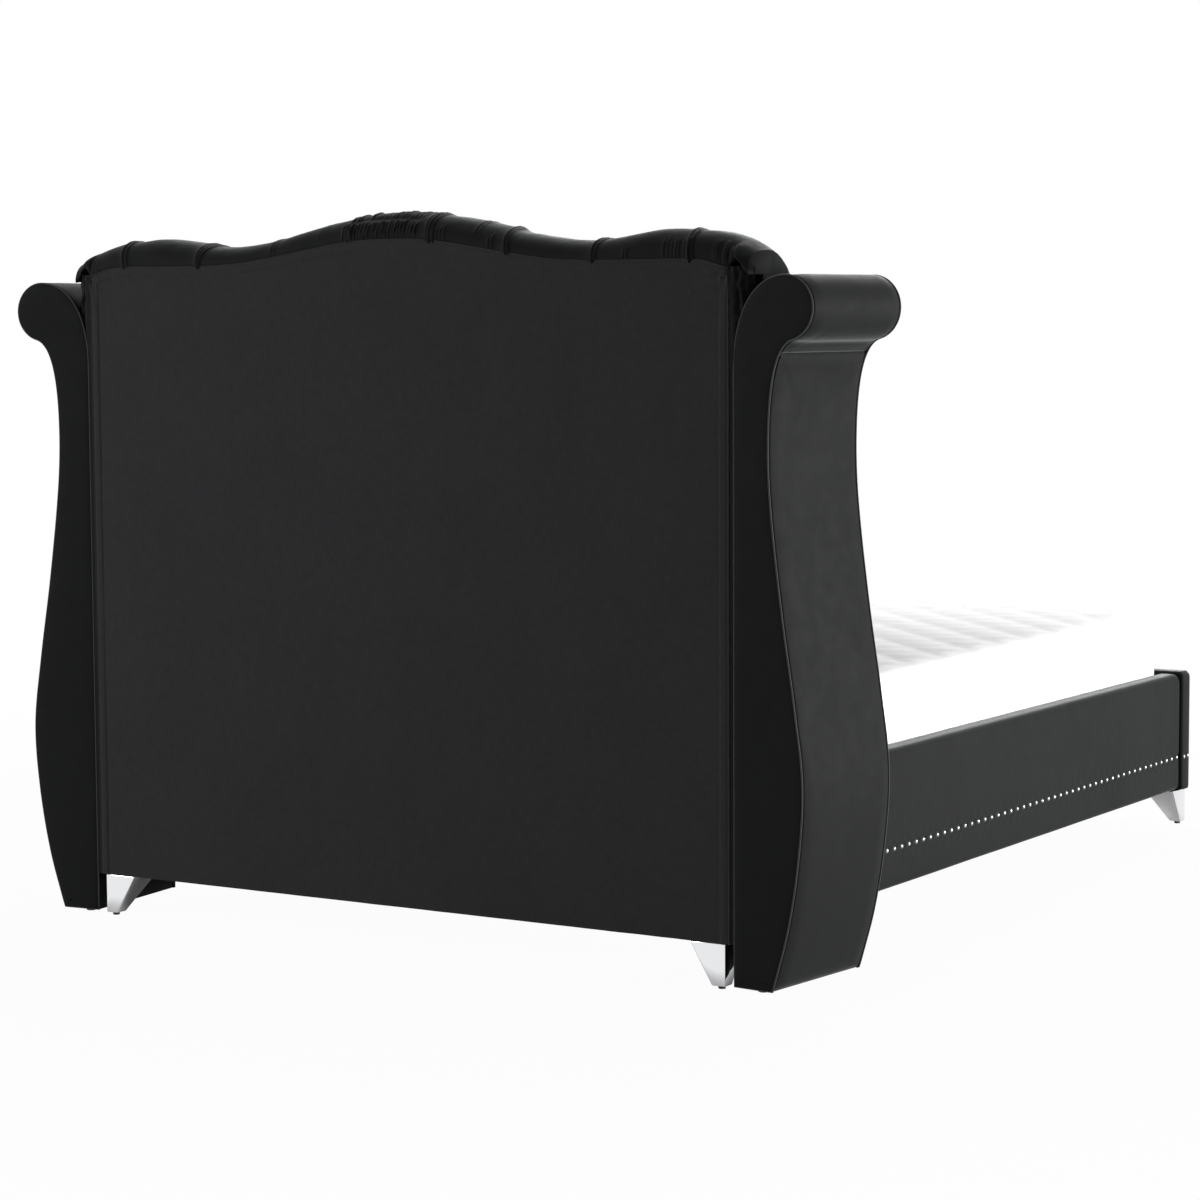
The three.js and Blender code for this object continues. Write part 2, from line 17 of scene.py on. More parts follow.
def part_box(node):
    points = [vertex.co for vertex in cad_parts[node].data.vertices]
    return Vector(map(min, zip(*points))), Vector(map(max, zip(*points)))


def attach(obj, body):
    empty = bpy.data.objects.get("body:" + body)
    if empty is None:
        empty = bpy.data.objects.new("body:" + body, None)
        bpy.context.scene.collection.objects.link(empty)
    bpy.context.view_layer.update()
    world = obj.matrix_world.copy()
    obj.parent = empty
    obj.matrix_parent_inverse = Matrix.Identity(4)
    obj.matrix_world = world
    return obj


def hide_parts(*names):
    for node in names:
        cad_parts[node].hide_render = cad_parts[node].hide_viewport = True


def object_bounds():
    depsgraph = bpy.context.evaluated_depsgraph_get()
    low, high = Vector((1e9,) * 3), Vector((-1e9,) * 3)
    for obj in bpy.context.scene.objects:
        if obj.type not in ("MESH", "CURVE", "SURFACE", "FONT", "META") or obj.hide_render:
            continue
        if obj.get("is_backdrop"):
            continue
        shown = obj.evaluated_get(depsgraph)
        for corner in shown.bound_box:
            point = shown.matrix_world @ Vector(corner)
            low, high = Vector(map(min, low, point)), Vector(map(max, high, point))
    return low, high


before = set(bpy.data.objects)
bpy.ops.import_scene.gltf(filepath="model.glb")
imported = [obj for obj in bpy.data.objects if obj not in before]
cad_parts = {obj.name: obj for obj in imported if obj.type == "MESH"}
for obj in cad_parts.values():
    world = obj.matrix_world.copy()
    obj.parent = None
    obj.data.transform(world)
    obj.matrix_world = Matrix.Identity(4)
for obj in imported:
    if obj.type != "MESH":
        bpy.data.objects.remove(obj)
cad_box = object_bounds()
print("box of the CAD model:", [tuple(round(c, 4) for c in corner) for corner in cad_box])

# %% [markdown]
# ## The camera
# The bed is seen from behind and from its left, at about the height of the headboard. A long
# lens from six metres away keeps the upright edges almost parallel. The camera is placed by
# its position and the direction that it looks in, and turned a hair about that direction.

# %% The camera
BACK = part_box("headboard_back_cover")[1].y
LENS = 95.75
SENSOR_WIDTH = 36
SIGHT = 100
CAMERA_PLACE = Vector((-3.5616, BACK + 4.9909, 1.2323))
CAMERA_AIM = Vector((0.5245, -0.8467, -0.0896))
CAMERA_ROLL = -0.00515


def linked(name, data):
    """A new object in the scene."""
    made = bpy.data.objects.new(name, data)
    bpy.context.scene.collection.objects.link(made)
    return made


def make_camera():
    camera = linked("camera", bpy.data.cameras.new("camera"))
    camera.data.lens = LENS
    camera.data.sensor_width = SENSOR_WIDTH
    camera.data.clip_end = SIGHT
    turn = CAMERA_AIM.to_track_quat("-Z", "Y") @ Quaternion((0, 0, 1), CAMERA_ROLL)
    camera.location = CAMERA_PLACE
    camera.rotation_euler = turn.to_euler()
    bpy.context.scene.camera = camera
    return camera


camera = make_camera()
print("camera at", tuple(camera.location), "with a lens of", LENS, "mm")

# %% [markdown]
# ## Writing materials as sums
# A material is a small network of nodes. Wiring it by hand takes many lines, so one class
# wraps a socket and lets it be added, multiplied and subtracted, and a second one holds the
# material and makes any node from its type, its settings and its inputs.


# %% Helpers for materials
BAND_REPEAT = math.tau / 20  # metres between the bands of a wave texture at a scale of 1
class Term:
    """A socket's value, to be used in arithmetic: 1 - mask, 0.3 * grain + 0.5."""

    def __init__(self, finish, socket):
        self.finish = finish
        self.socket = socket

    def _maths(self, operation, a, b):
        return self.finish.node("ShaderNodeMath", {"operation": operation}, {0: a, 1: b})

    def __add__(self, other):
        return self._maths("ADD", self, other)

    def __radd__(self, other):
        return self._maths("ADD", other, self)

    def __sub__(self, other):
        return self._maths("SUBTRACT", self, other)

    def __rsub__(self, other):
        return self._maths("SUBTRACT", other, self)

    def __mul__(self, other):
        return self._maths("MULTIPLY", self, other)

    def __rmul__(self, other):
        return self._maths("MULTIPLY", other, self)

    def at_least(self, other):
        return self._maths("MAXIMUM", self, other)


class Finish:
    """One material: its main shader and the nodes that feed it."""

    def __init__(self, name, **values):
        self.material = bpy.data.materials.new(name)
        self.material.use_nodes = True
        self.tree = self.material.node_tree
        self.shader = self.tree.nodes["Principled BSDF"]
        for socket, value in values.items():
            self.shader.inputs[socket.replace("_", " ")].default_value = value

    def node(self, kind, settings=None, inputs=None, output=0):
        made = self.tree.nodes.new(kind)
        for name, value in (settings or {}).items():
            setattr(made, name, value)
        for key, value in (inputs or {}).items():
            if isinstance(value, Term):
                self.tree.links.new(value.socket, made.inputs[key])
            else:
                made.inputs[key].default_value = value
        return Term(self, made.outputs[output])

    def place(self, stretch=(1, 1, 1)):
        seen = self.node("ShaderNodeTexCoord", output="Object")
        return self.node("ShaderNodeMapping", {}, {"Vector": seen, "Scale": stretch})

    def grain(self, size, detail=2.0, stretch=(1, 1, 1), rough=0.5):
        """Noise whose lumps are about `size` metres across."""
        inputs = {"Vector": self.place(stretch), "Scale": 1 / size, "Detail": detail, "Roughness": rough}
        return self.node("ShaderNodeTexNoise", {}, inputs)

    def threads(self, pitch, direction):
        """Parallel ridges that are `pitch` metres apart, a little uneven as spun threads are."""
        settings = {"wave_type": "BANDS", "bands_direction": direction}
        inputs = {"Vector": self.place(), "Scale": BAND_REPEAT / pitch, "Distortion": 0.6,
                  "Detail": 1.0, "Detail Scale": 3.0}
        return self.node("ShaderNodeTexWave", settings, inputs)

    def mix(self, factor, dark, light):
        """A colour between two: dark where the factor is 0, light where it is 1."""
        inputs = {0: factor, 6: (*dark, 1), 7: (*light, 1)}
        return self.node("ShaderNodeMix", {"data_type": "RGBA"}, inputs, output=2)

    def bump(self, height, strength, distance):
        inputs = {"Height": height, "Strength": strength, "Distance": distance}
        return self.node("ShaderNodeBump", {}, inputs)

    def feed(self, **terms):
        for socket, term in terms.items():
            self.tree.links.new(term.socket, self.shader.inputs[socket.replace("_", " ")])
        return self.material


print("helpers for materials are ready")

# %% [markdown]
# ## Studio
# The bed stands on a plain pale floor in front of white. The white that the camera and the
# chrome see comes from the world's and the floor's own colour, and not from stronger lamps, so
# the velvet is lit at a plain level. The floor mixes that white with an ordinary matt surface,
# which keeps the bed's soft shadow. Under the bed the chrome sees almost nothing but that matt
# surface, so the faces of the legs that look down there reflect the shade.

# %% Floor, world and lamps
FLOOR_HALF = 30
FLOOR_DARK, FLOOR_LIGHT = (0.5, 0.5, 0.5), (0.54, 0.54, 0.54)
FLOOR_WHITE = 0.965
WHITE_FROM, WHITE_TO = 1.4, 4.5
POLISHED_UNDER = 0.02
SHADE_EDGE = (0.95, 1.12)
AMBIENT = 0.08
BED_HALF_X, BED_HALF_Y = 0.75, 1.1
LAMPS_AIM = Vector((0, 0.4, 0.6))
LAMPS = [
    ("back_fill", (4.8, 6.0, 2.5), 3.0, 280),
    ("side_gloss", (-6.1, -2.2, 1.05), 1.9, 720),
    ("over_mattress", (0.5, -3.3, 3.0), 2.0, 105),
    ("foot_fill", (3.4, -6.0, 2.2), 3.0, 200),
]


def ray(finish, kind):
    """1 where the surface is looked at by this kind of ray."""
    return finish.node("ShaderNodeLightPath", output=f"Is {kind} Ray")


def vector_maths(finish, operation, *inputs, output=0):
    return finish.node("ShaderNodeVectorMath", {"operation": operation}, dict(enumerate(inputs)), output)


def fade(finish, value, near, far, low):
    """From low at near up to 1 at far, smoothly."""
    inputs = {0: value, "From Min": near, "From Max": far, "To Min": low, "To Max": 1.0}
    return finish.node("ShaderNodeMapRange", {"interpolation_type": "SMOOTHSTEP"}, inputs)


def floor_paint():
    """Matt grey with a white glow over it. The camera sees a little of the grey near the bed,
    where the shadow falls, and chrome sees mostly the grey under the bed."""
    finish = Finish("floor_paint", Roughness=0.9)
    finish.feed(Base_Color=finish.mix(finish.grain(0.08, 3), FLOOR_DARK, FLOOR_LIGHT))
    glow = finish.node("ShaderNodeEmission", {}, {"Color": (1, 1, 1, 1), "Strength": 1.0})
    matt = Term(finish, finish.shader.outputs[0])
    spot = finish.place()
    away = vector_maths(finish, "LENGTH", spot, output="Value")
    aside = vector_maths(finish, "ABSOLUTE", spot)
    footprint = vector_maths(finish, "DIVIDE", aside, (BED_HALF_X, BED_HALF_Y, 1))
    across, along = (finish.node("ShaderNodeSeparateXYZ", {}, {0: footprint}, axis) for axis in (0, 1))
    polished = ray(finish, "Glossy").at_least(ray(finish, "Transmission"))
    beside = fade(finish, across.at_least(along), *SHADE_EDGE, POLISHED_UNDER)
    seen = ray(finish, "Camera") * fade(finish, away, WHITE_FROM, WHITE_TO, FLOOR_WHITE)
    both = finish.node("ShaderNodeMixShader", {}, {0: seen.at_least(polished * beside), 1: matt, 2: glow})
    finish.tree.links.new(both.socket, finish.tree.nodes["Material Output"].inputs["Surface"])
    return finish.material


def make_floor():
    bm = bmesh.new()
    bmesh.ops.create_grid(bm, x_segments=4, y_segments=4, size=FLOOR_HALF)
    mesh = bpy.data.meshes.new("floor")
    bm.to_mesh(mesh)
    bm.free()
    mesh.materials.append(floor_paint())
    linked("floor", mesh)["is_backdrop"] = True


def make_world():
    world = bpy.data.worlds.new("studio")
    world.use_nodes = True
    bpy.context.scene.world = world
    nodes, links = world.node_tree.nodes, world.node_tree.links
    background = nodes["Background"]
    background.inputs["Color"].default_value = (1, 1, 1, 1)
    path = nodes.new("ShaderNodeLightPath")
    seen = path.outputs["Is Camera Ray"]
    for kind in ("Is Glossy Ray", "Is Transmission Ray"):
        either = nodes.new("ShaderNodeMath")
        either.operation = "MAXIMUM"
        links.new(seen, either.inputs[0])
        links.new(path.outputs[kind], either.inputs[1])
        seen = either.outputs[0]
    strength = nodes.new("ShaderNodeMath")
    strength.operation = "MULTIPLY_ADD"
    links.new(seen, strength.inputs[0])
    strength.inputs[1].default_value = 1 - AMBIENT
    strength.inputs[2].default_value = AMBIENT
    links.new(strength.outputs[0], background.inputs["Strength"])


def make_lamps():
    for name, place, size, power in LAMPS:
        lamp = linked(name, bpy.data.lights.new(name, "AREA"))
        lamp.data.shape = "SQUARE"
        lamp.data.size = size
        lamp.data.energy = power
        lamp.location = place
        lamp.rotation_euler = (LAMPS_AIM - lamp.location).to_track_quat("-Z", "Y").to_euler()


make_floor()
make_world()
make_lamps()
bpy.context.scene.view_settings.view_transform = "Standard"
print("studio:", len(LAMPS), "lamps")

# %% [markdown]
# ## Velvet
# Velvet is a short dense pile. Seen straight on it swallows light and looks almost black, and
# where the pile is seen from the side, at rounded edges and folds, it shines. The sheen on the
# shader does that. Handling brushes the pile one way or the other, which leaves soft patches,
# and a very fine bump stands for the ends of the pile.


# %% Velvet
def make_velvet(name, dark, light, sheen):
    finish = Finish(name, Sheen_Weight=sheen, Sheen_Roughness=0.3, Sheen_Tint=(0.95, 0.98, 0.97, 1),
                    Specular_IOR_Level=0.05)
    brushed = finish.grain(0.2, 3, stretch=(1, 1, 0.5))
    handled = finish.grain(0.035, 3)
    pile = finish.grain(0.0022, 3, rough=0.7)
    colour = finish.mix(0.4 * brushed + 0.2 * handled + 0.4 * pile, dark, light)
    relief = finish.bump(pile, 0.35, 0.0010)
    return finish.feed(Base_Color=colour, Roughness=0.55 + 0.2 * handled, Normal=relief)


velvet = make_velvet("black_velvet", (0.002, 0.0023, 0.0022), (0.0125, 0.0134, 0.013), 0.25)
print("made", velvet.name)

# %% [markdown]
# ## Back cloth
# The back is closed with a matt charcoal cotton, a plain weave of two sets of threads that
# cross. The threads are a little over a millimetre apart here, and the cloth is slightly
# mottled from dyeing.


# %% Back cloth, thread and the other finishes
def make_weave(name, dark, light, pitch, strength):
    finish = Finish(name, Sheen_Weight=0.08, Sheen_Roughness=0.5, Specular_IOR_Level=0.15)
    warp = finish.threads(pitch, "X")
    weft = finish.threads(pitch, "Z")
    mottle = finish.grain(0.012, 4, rough=0.65)
    cloud = finish.grain(0.22, 2)
    weave = warp * weft
    colour = finish.mix(0.25 * weave + 0.55 * mottle + 0.2 * cloud, dark, light)
    relief = finish.bump(weave + 0.6 * mottle, strength, 0.0008)
    return finish.feed(Base_Color=colour, Roughness=0.82 + 0.12 * mottle, Normal=relief)


def make_wood(name, dark, light, along):
    """Boards whose grain runs along one axis: the rings are stretched that way."""
    stretch = tuple(0.06 if axis == along else 1.0 for axis in "XYZ")
    finish = Finish(name, Specular_IOR_Level=0.35)
    rings = finish.grain(0.011, 5, stretch=stretch, rough=0.6)
    pores = finish.grain(0.0016, 2, stretch=stretch)
    boards = finish.grain(0.35, 1)
    colour = finish.mix(0.62 * rings + 0.2 * pores + 0.25 * boards, dark, light)
    relief = finish.bump(pores + rings, 0.25, 0.0006)
    return finish.feed(Base_Color=colour, Roughness=0.5 + 0.2 * pores, Normal=relief)


def make_metal(name, dark, light, rough, smudge, metallic=1.0):
    finish = Finish(name, Metallic=metallic)
    wiped = finish.grain(0.05, 3, stretch=(1, 1, 0.4))
    fine = finish.grain(0.004, 2)
    colour = finish.mix(0.6 * wiped + 0.4 * fine, dark, light)
    relief = finish.bump(fine, 0.05, 0.0004)
    return finish.feed(Base_Color=colour, Roughness=rough + smudge * wiped, Normal=relief)


def make_plastic(name):
    finish = Finish(name, Specular_IOR_Level=0.4)
    grain = finish.grain(0.0012, 2)
    colour = finish.mix(grain, (0.008, 0.008, 0.009), (0.02, 0.02, 0.021))
    relief = finish.bump(grain, 0.2, 0.0004)
    return finish.feed(Base_Color=colour, Roughness=0.42 + 0.2 * grain, Normal=relief)


PINE_DARK, PINE_LIGHT = (0.36, 0.21, 0.10), (0.66, 0.46, 0.27)
back_weave = make_weave("charcoal_cotton", (0.009, 0.009, 0.0098), (0.043, 0.043, 0.0465), 0.0013, 0.35)
thread = make_weave("charcoal_thread", (0.03, 0.03, 0.034), (0.06, 0.06, 0.066), 0.0006, 0.3)
ticking = make_weave("white_ticking", (0.88, 0.88, 0.875), (0.95, 0.95, 0.945), 0.0022, 0.3)
tape = make_weave("white_edge_tape", (0.82, 0.82, 0.81), (0.9, 0.9, 0.89), 0.0011, 0.3)
pine = {along: make_wood(f"pine_along_{along}", PINE_DARK, PINE_LIGHT, along) for along in "XYZ"}
birch = make_wood("birch_ply_along_X", (0.47, 0.32, 0.18), (0.72, 0.55, 0.36), "X")
chrome = make_metal("polished_chrome", (0.74, 0.75, 0.77), (0.86, 0.86, 0.87), 0.05, 0.07)
# Painted reflected shade: the nickel is much darker than bare nickel, standing in for the dark surroundings
# that the heads reflect, so only the lamps' highlights stay bright.
nickel = make_metal("nickel_nails_painted_dark", (0.20, 0.20, 0.205), (0.46, 0.46, 0.465), 0.16, 0.14)
coated_steel = make_metal("coated_steel", (0.03, 0.031, 0.033), (0.06, 0.062, 0.065), 0.45, 0.15, 0.4)
glide_plastic = make_plastic("black_glides")
print("made", len(bpy.data.materials), "materials")

# %% [markdown]
# ## Shaping helpers
# Most upholstery here is a section carried along a line: the roll of the headboard, a rail, the
# skin of a wing. One helper makes a closed tube with bmesh's cone, cuts it into rings and moves
# every point to its place. Others lay a thin sheet over a grid, push points out along their
# normals and run a cord along a route. The last steps of a piece are in one place too: its
# mesh, its finish, the body that it rides on and the CAD nodes that it stands for.


# %% Shaping helpers
def finished(name, bm, material, nodes=(), body="bed_frame", sharp=50):
    """Makes the piece's object, and tells the frame where it belongs."""
    mesh = bpy.data.meshes.new(name)
    bm.to_mesh(mesh)
    bm.free()
    mesh.shade_smooth()
    mesh.set_sharp_from_angle(angle=math.radians(sharp))
    mesh.materials.append(material)
    piece = linked(name, mesh)
    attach(piece, body)
    if nodes:
        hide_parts(*nodes)
    print(f"{name}: {len(mesh.vertices)} points, {len(mesh.polygons)} faces")
    return piece


def sleeve(columns, section, place):
    """A closed tube with flat ends. section(c) gives the outline at column c as pairs, and
    place(c, a, b) says where such a pair lies. Also returns each point's column and step."""
    outlines = [section(c) for c in columns]
    around = len(outlines[0])
    along = len(columns) - 1
    bm = bmesh.new()
    bmesh.ops.create_cone(bm, cap_ends=True, segments=around, radius1=1, radius2=1, depth=1)
    rings = [e for e in bm.edges if abs(e.verts[0].co.z - e.verts[1].co.z) > 0.5]
    bmesh.ops.subdivide_edges(bm, edges=rings, cuts=along - 1, use_grid_fill=True)
    spots = []
    for v in bm.verts:
        step = round(math.atan2(v.co.x, v.co.y) / math.tau * around) % around
        column = round((v.co.z + 0.5) * along)
        v.co = place(columns[column], *outlines[column][step])
        spots.append((column, step))
    bmesh.ops.recalc_face_normals(bm, faces=bm.faces)
    if bm.calc_volume(signed=True) < 0:
        bmesh.ops.reverse_faces(bm, faces=bm.faces)
    return bm, spots


def push_out(bm, heights):
    """Moves every point along its normal, by one height each."""
    bm.normal_update()
    moves = [v.normal * height for v, height in zip(bm.verts, heights)]
    for v, move in zip(bm.verts, moves):
        v.co += move


def raise_points(bm, spots, relief):
    """Moves every point of a sleeve along its normal by relief(column, step, place)."""
    push_out(bm, [relief(*spot, v.co) for v, spot in zip(bm.verts, spots)])


def thin_sheet(columns, rows, place, thick):
    """A sheet that faces +Y. place(column, row) says where each point of its grid lies."""
    across, up = len(columns) - 1, len(rows) - 1
    bm = bmesh.new()
    bmesh.ops.create_grid(bm, x_segments=across, y_segments=up, size=0.5)
    for v in bm.verts:
        v.co = place(columns[round((v.co.x + 0.5) * across)], rows[round((v.co.y + 0.5) * up)])
    bmesh.ops.recalc_face_normals(bm, faces=bm.faces)
    if sum(f.normal.y for f in bm.faces) < 0:
        bmesh.ops.reverse_faces(bm, faces=bm.faces)
    bmesh.ops.solidify(bm, geom=bm.faces, thickness=thick)
    bmesh.ops.recalc_face_normals(bm, faces=bm.faces)
    return bm


def through(stops):
    """A smooth curve through (place, height) stops, as a function of the place."""
    def slope(i):
        before, after = stops[max(i - 1, 0)], stops[min(i + 1, len(stops) - 1)]
        return (after[1] - before[1]) / (after[0] - before[0])

    def height(place):
        place = min(max(place, stops[0][0]), stops[-1][0])
        i = max(k for k in range(len(stops) - 1) if stops[k][0] <= place)
        (p0, h0), (p1, h1) = stops[i], stops[i + 1]
        wide = p1 - p0
        t = (place - p0) / wide
        first = 0 if i == 0 else slope(i) * wide
        last = slope(i + 1) * wide
        return ((2 * t**3 - 3 * t**2 + 1) * h0 + (t**3 - 2 * t**2 + t) * first
                + (3 * t**2 - 2 * t**3) * h1 + (t**3 - t**2) * last)

    return height


def ease(low, high, value):
    """0 below low, 1 above high, smooth in between."""
    t = min(max((value - low) / (high - low), 0), 1)
    return t * t * (3 - 2 * t)


def spread(low, high, count):
    return [low + (high - low) * i / (count - 1) for i in range(count)]


def lumps(place, size, seed=0):
    """Smooth noise from -1 to 1 with lumps of the given size."""
    return noise.noise(Vector(place) / size + Vector((seed * 7.3, seed * 3.1, 0)))


def as_evaluated(rough):
    """A bmesh of an object as its bevel or its modifiers leave it. The object itself goes."""
    seen = rough.evaluated_get(bpy.context.evaluated_depsgraph_get())
    bm = bmesh.new()
    bm.from_mesh(seen.to_mesh())
    seen.to_mesh_clear()
    bpy.data.objects.remove(rough)
    return bm


def tube(name, route, radius, finish, body="bed_frame"):
    """A closed cord laid along a route."""
    line = bpy.data.curves.new(f"{name}_line", "CURVE")
    line.dimensions = "3D"
    line.bevel_depth = radius
    line.bevel_resolution = 2
    spline = line.splines.new("POLY")
    spline.points.add(len(route) - 1)
    for point, place in zip(spline.points, route):
        point.co = (*place, 1)
    spline.use_cyclic_u = True
    bm = as_evaluated(linked(f"{name}_rough", line))
    bpy.data.curves.remove(line)
    bmesh.ops.recalc_face_normals(bm, faces=bm.faces)
    return finished(name, bm, finish, body=body, sharp=80)


print("shaping helpers are ready")

# %% [markdown]
# ## The serpentine top
# The headboard's top runs in a wave: a high crown in the middle, a dip, a low shoulder and a
# falling corner. The velvet pad and the back cloth each have such a line, one above the other.
# Both are symmetrical, so half a line is given, as shares of the half width and drops.

# %% The serpentine lines
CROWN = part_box("headboard_tufted_pad")[1].z
cloth_low, cloth_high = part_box("headboard_back_cover")
CLOTH_HALF = cloth_high.x
CLOTH_BOTTOM = cloth_low.z
CLOTH_DROP = 0.053
pad_drop = through([
    (0, 0), (0.127, 0.006), (0.297, 0.031), (0.424, 0.052), (0.52, 0.059),
    (0.615, 0.052), (0.753, 0.041), (0.87, 0.047), (0.94, 0.061), (1, 0.084),
])
cloth_drop = through([
    (0, 0), (0.12, 0.003), (0.24, 0.015), (0.36, 0.029), (0.48, 0.041),
    (0.6, 0.046), (0.75, 0.046), (0.92, 0.048), (1, 0.063),
])


def cloth_top(x):
    return CROWN - CLOTH_DROP - cloth_drop(min(abs(x) / CLOTH_HALF, 1))


def pad_top(share):
    return CROWN - pad_drop(min(abs(share), 1))


print("crown at", round(CROWN, 3), "cloth's top at", round(cloth_top(0), 3), "in the middle")

# %% [markdown]
# ## The back cloth
# One flat piece of cotton with a turned hem on its top and sides, sewn with two rows of
# stitches and stapled over the frame. It hangs almost flat, with a faint ripple along its lower
# edge and a few puckers at its upper corners, where the hem turns the corner. A grid whose
# lines follow the edges gives the hem its own rows, and bmesh's solidify gives it a thickness.

# %% The back cloth's relief
HEM = 0.020
SEAMS = (0.0032, HEM)
SEAM_DIP, SEAM_WIDTH = 0.0011, 0.0013
PLY = 0.0011
CLOTH_CLEAR = 0.0004
PUCKER_LEFT, PUCKER_RIGHT = 0.0034, 0.0020
PUCKER_KNOT = 0.012
PUCKER_REACH = 0.034


def seam_dip(distance):
    """How far the rows of stitches pull the cloth in, at a distance from the edge."""
    return -SEAM_DIP * sum(math.exp(-(((distance - seam) / SEAM_WIDTH) ** 2)) for seam in SEAMS)


def corner_pucker(x, side, top):
    """Folds that fan out from an upper corner, where the hem is turned twice."""
    reach = math.hypot(side - PUCKER_KNOT, top - PUCKER_KNOT)
    fan = math.atan2(top, side)
    amount = PUCKER_LEFT if x < 0 else PUCKER_RIGHT
    return amount * math.exp(-reach / PUCKER_REACH) * math.sin(fan * 13 + 1.2) * ease(0, 0.008, reach)


def shoulder_gather(x, side, top):
    """Fine gathers along the hem over the falling corners of the top."""
    wave = math.sin(x * 420 + 3 * lumps((x, 0, 0), 0.06))
    return (0.0009 * math.exp(-abs(top - HEM) / 0.012) * wave
            * ease(0.55, 0.66, abs(x)) * ease(0.0, 0.012, side))


def cloth_relief(x, z):
    """How far the cloth stands out from its plane at a place."""
    side, top = CLOTH_HALF - abs(x), cloth_top(x) - z
    edge = min(side, top)
    turned = PLY * (1 - ease(HEM, HEM + 0.0015, edge))
    drift = 0.0011 * lumps((x, 0, z), 0.42) + 0.0005 * lumps((x * 2.2, 0, z), 0.12, 1)
    drift *= ease(0, 0.02, side) * ease(0, 0.02, top)
    low = 1 - ease(0, 0.05, z - CLOTH_BOTTOM)
    ripple = 0.0016 * low * lumps((x, 0, 0), 0.055, 2) * ease(0, 0.03, side)
    folds = corner_pucker(x, side, top) + shoulder_gather(x, side, top)
    return max(turned + seam_dip(edge) + drift + ripple + folds, -CLOTH_CLEAR)


print("relief in the middle of the hem:", round(cloth_relief(0, cloth_top(0) - HEM / 2) * 1000, 2), "mm")

# %% The back cloth
CLOTH_STEP = 0.0095
CLOTH_THICK = 0.0009
EDGE_STEPS = (0, 0.0012, 0.0022, 0.0032, 0.0042, 0.0055, 0.010, 0.0155,
              0.0185, 0.0192, HEM, 0.0208, 0.0215, 0.025, 0.031)
FINE_EDGE = EDGE_STEPS[-1]
STITCH_PITCH, STITCH_LENGTH, STITCH_THICK = 0.0046, 0.0034, 0.00042


def from_edge(length):
    """Distances from one edge to the other, with fine steps at each hem."""
    inner = length - 2 * FINE_EDGE
    count = round(inner / CLOTH_STEP)
    middle = [FINE_EDGE + inner * i / count for i in range(1, count)]
    return [*EDGE_STEPS, *middle, *[length - d for d in reversed(EDGE_STEPS)]]


def cloth_place(x, share):
    """A point of the cloth. Rows near an edge keep their distance, and the others share the rest."""
    height = cloth_top(x) - CLOTH_BOTTOM
    fall = FINE_EDGE + (share - FINE_EDGE) / (1 - 2 * FINE_EDGE) * (height - 2 * FINE_EDGE)
    if share <= FINE_EDGE:
        fall = share
    elif share >= 1 - FINE_EDGE:
        fall = height - (1 - share)
    z = cloth_top(x) - fall
    return Vector((x, BACK + cloth_relief(x, z), z))


def make_back_cloth():
    columns = [distance - CLOTH_HALF for distance in from_edge(2 * CLOTH_HALF)]
    bm = thin_sheet(columns, from_edge(1.0)[::-1], cloth_place, CLOTH_THICK)
    return finished("back_cloth", bm, back_weave, ["headboard_back_cover"])


def stitch_row(bm, route):
    """Adds one small bead of thread after another along a route of points."""
    gone = 0.0
    for a, b in zip(route, route[1:]):
        way = b - a
        turn = way.to_track_quat("X", "Z").to_matrix().to_4x4()
        shape = Matrix.Diagonal((STITCH_LENGTH / 2, STITCH_THICK, STITCH_THICK, 1))
        while gone < way.length:
            middle = a + way.normalized() * gone
            made = bmesh.ops.create_icosphere(bm, subdivisions=1, radius=1)["verts"]
            bmesh.ops.transform(bm, matrix=Matrix.Translation(middle) @ turn @ shape, verts=made)
            gone += STITCH_PITCH
        gone -= way.length


def make_cloth_stitching():
    """Both rows run up one side, along the top and down the other side."""
    bm = bmesh.new()
    for seam in SEAMS:
        half = CLOTH_HALF - seam
        top = [(x, cloth_top(x) - seam) for x in spread(-half, half, 160)]
        up = [(-half, z) for z in spread(CLOTH_BOTTOM + 0.004, top[0][1] - 0.002, 40)]
        down = [(half, z) for _, z in reversed(up)]
        stitch_row(bm, [Vector((x, BACK + cloth_relief(x, z) + 0.0002, z)) for x, z in [*up, *top, *down]])
    return finished("back_cloth_stitching", bm, thread)


back_cloth = make_back_cloth()
cloth_stitching = make_cloth_stitching()
cloth_heights = [cloth_top(x) - CLOTH_BOTTOM for x in spread(-CLOTH_HALF, CLOTH_HALF, 201)]
cloth_area = sum(cloth_heights) / len(cloth_heights) * 2 * CLOTH_HALF
cloth_top(0) - CLOTH_BOTTOM
print("back cloth: flat area", round(cloth_area, 3), "square metres")

# %% [markdown]
# ## The wing's outline
# A wing seen from behind goes straight up beside the headboard, bends outwards over a scroll,
# comes back in to a narrow throat and swells to a belly low down. It stands turned a few
# degrees, so that the pair opens towards the foot. `u` is the way out from its inner side.

# %% The wing's outline
WING_FLARE = math.radians(6.2)
WING_INNER = 0.753
WING_DEPTH = 0.287
WING_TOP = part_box("wing_back_facing_left")[1].z
WING_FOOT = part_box("wing_back_facing_left")[0].z
SCROLL = 0.058
SCROLL_REACH = 0.112
SCROLL_TURNS_TO = math.radians(-75)
BEND = 0.168
NECK, BELLY, BASE = 0.0735, 0.148, 0.083
NECK_HEIGHT = 0.759  # heights of the side's curve are shares of the wing's top
SEAM_AFTER = 9       # steps down from the scroll to the seam under it
COVER = 0.003
FACING = 0.005


def curve(stops, steps):
    """A Bezier curve through its first and last stop, pulled by the two between."""
    return [Vector(p) for p in interpolate_bezier(*[Vector((*s, 0)) for s in stops], steps + 1)]


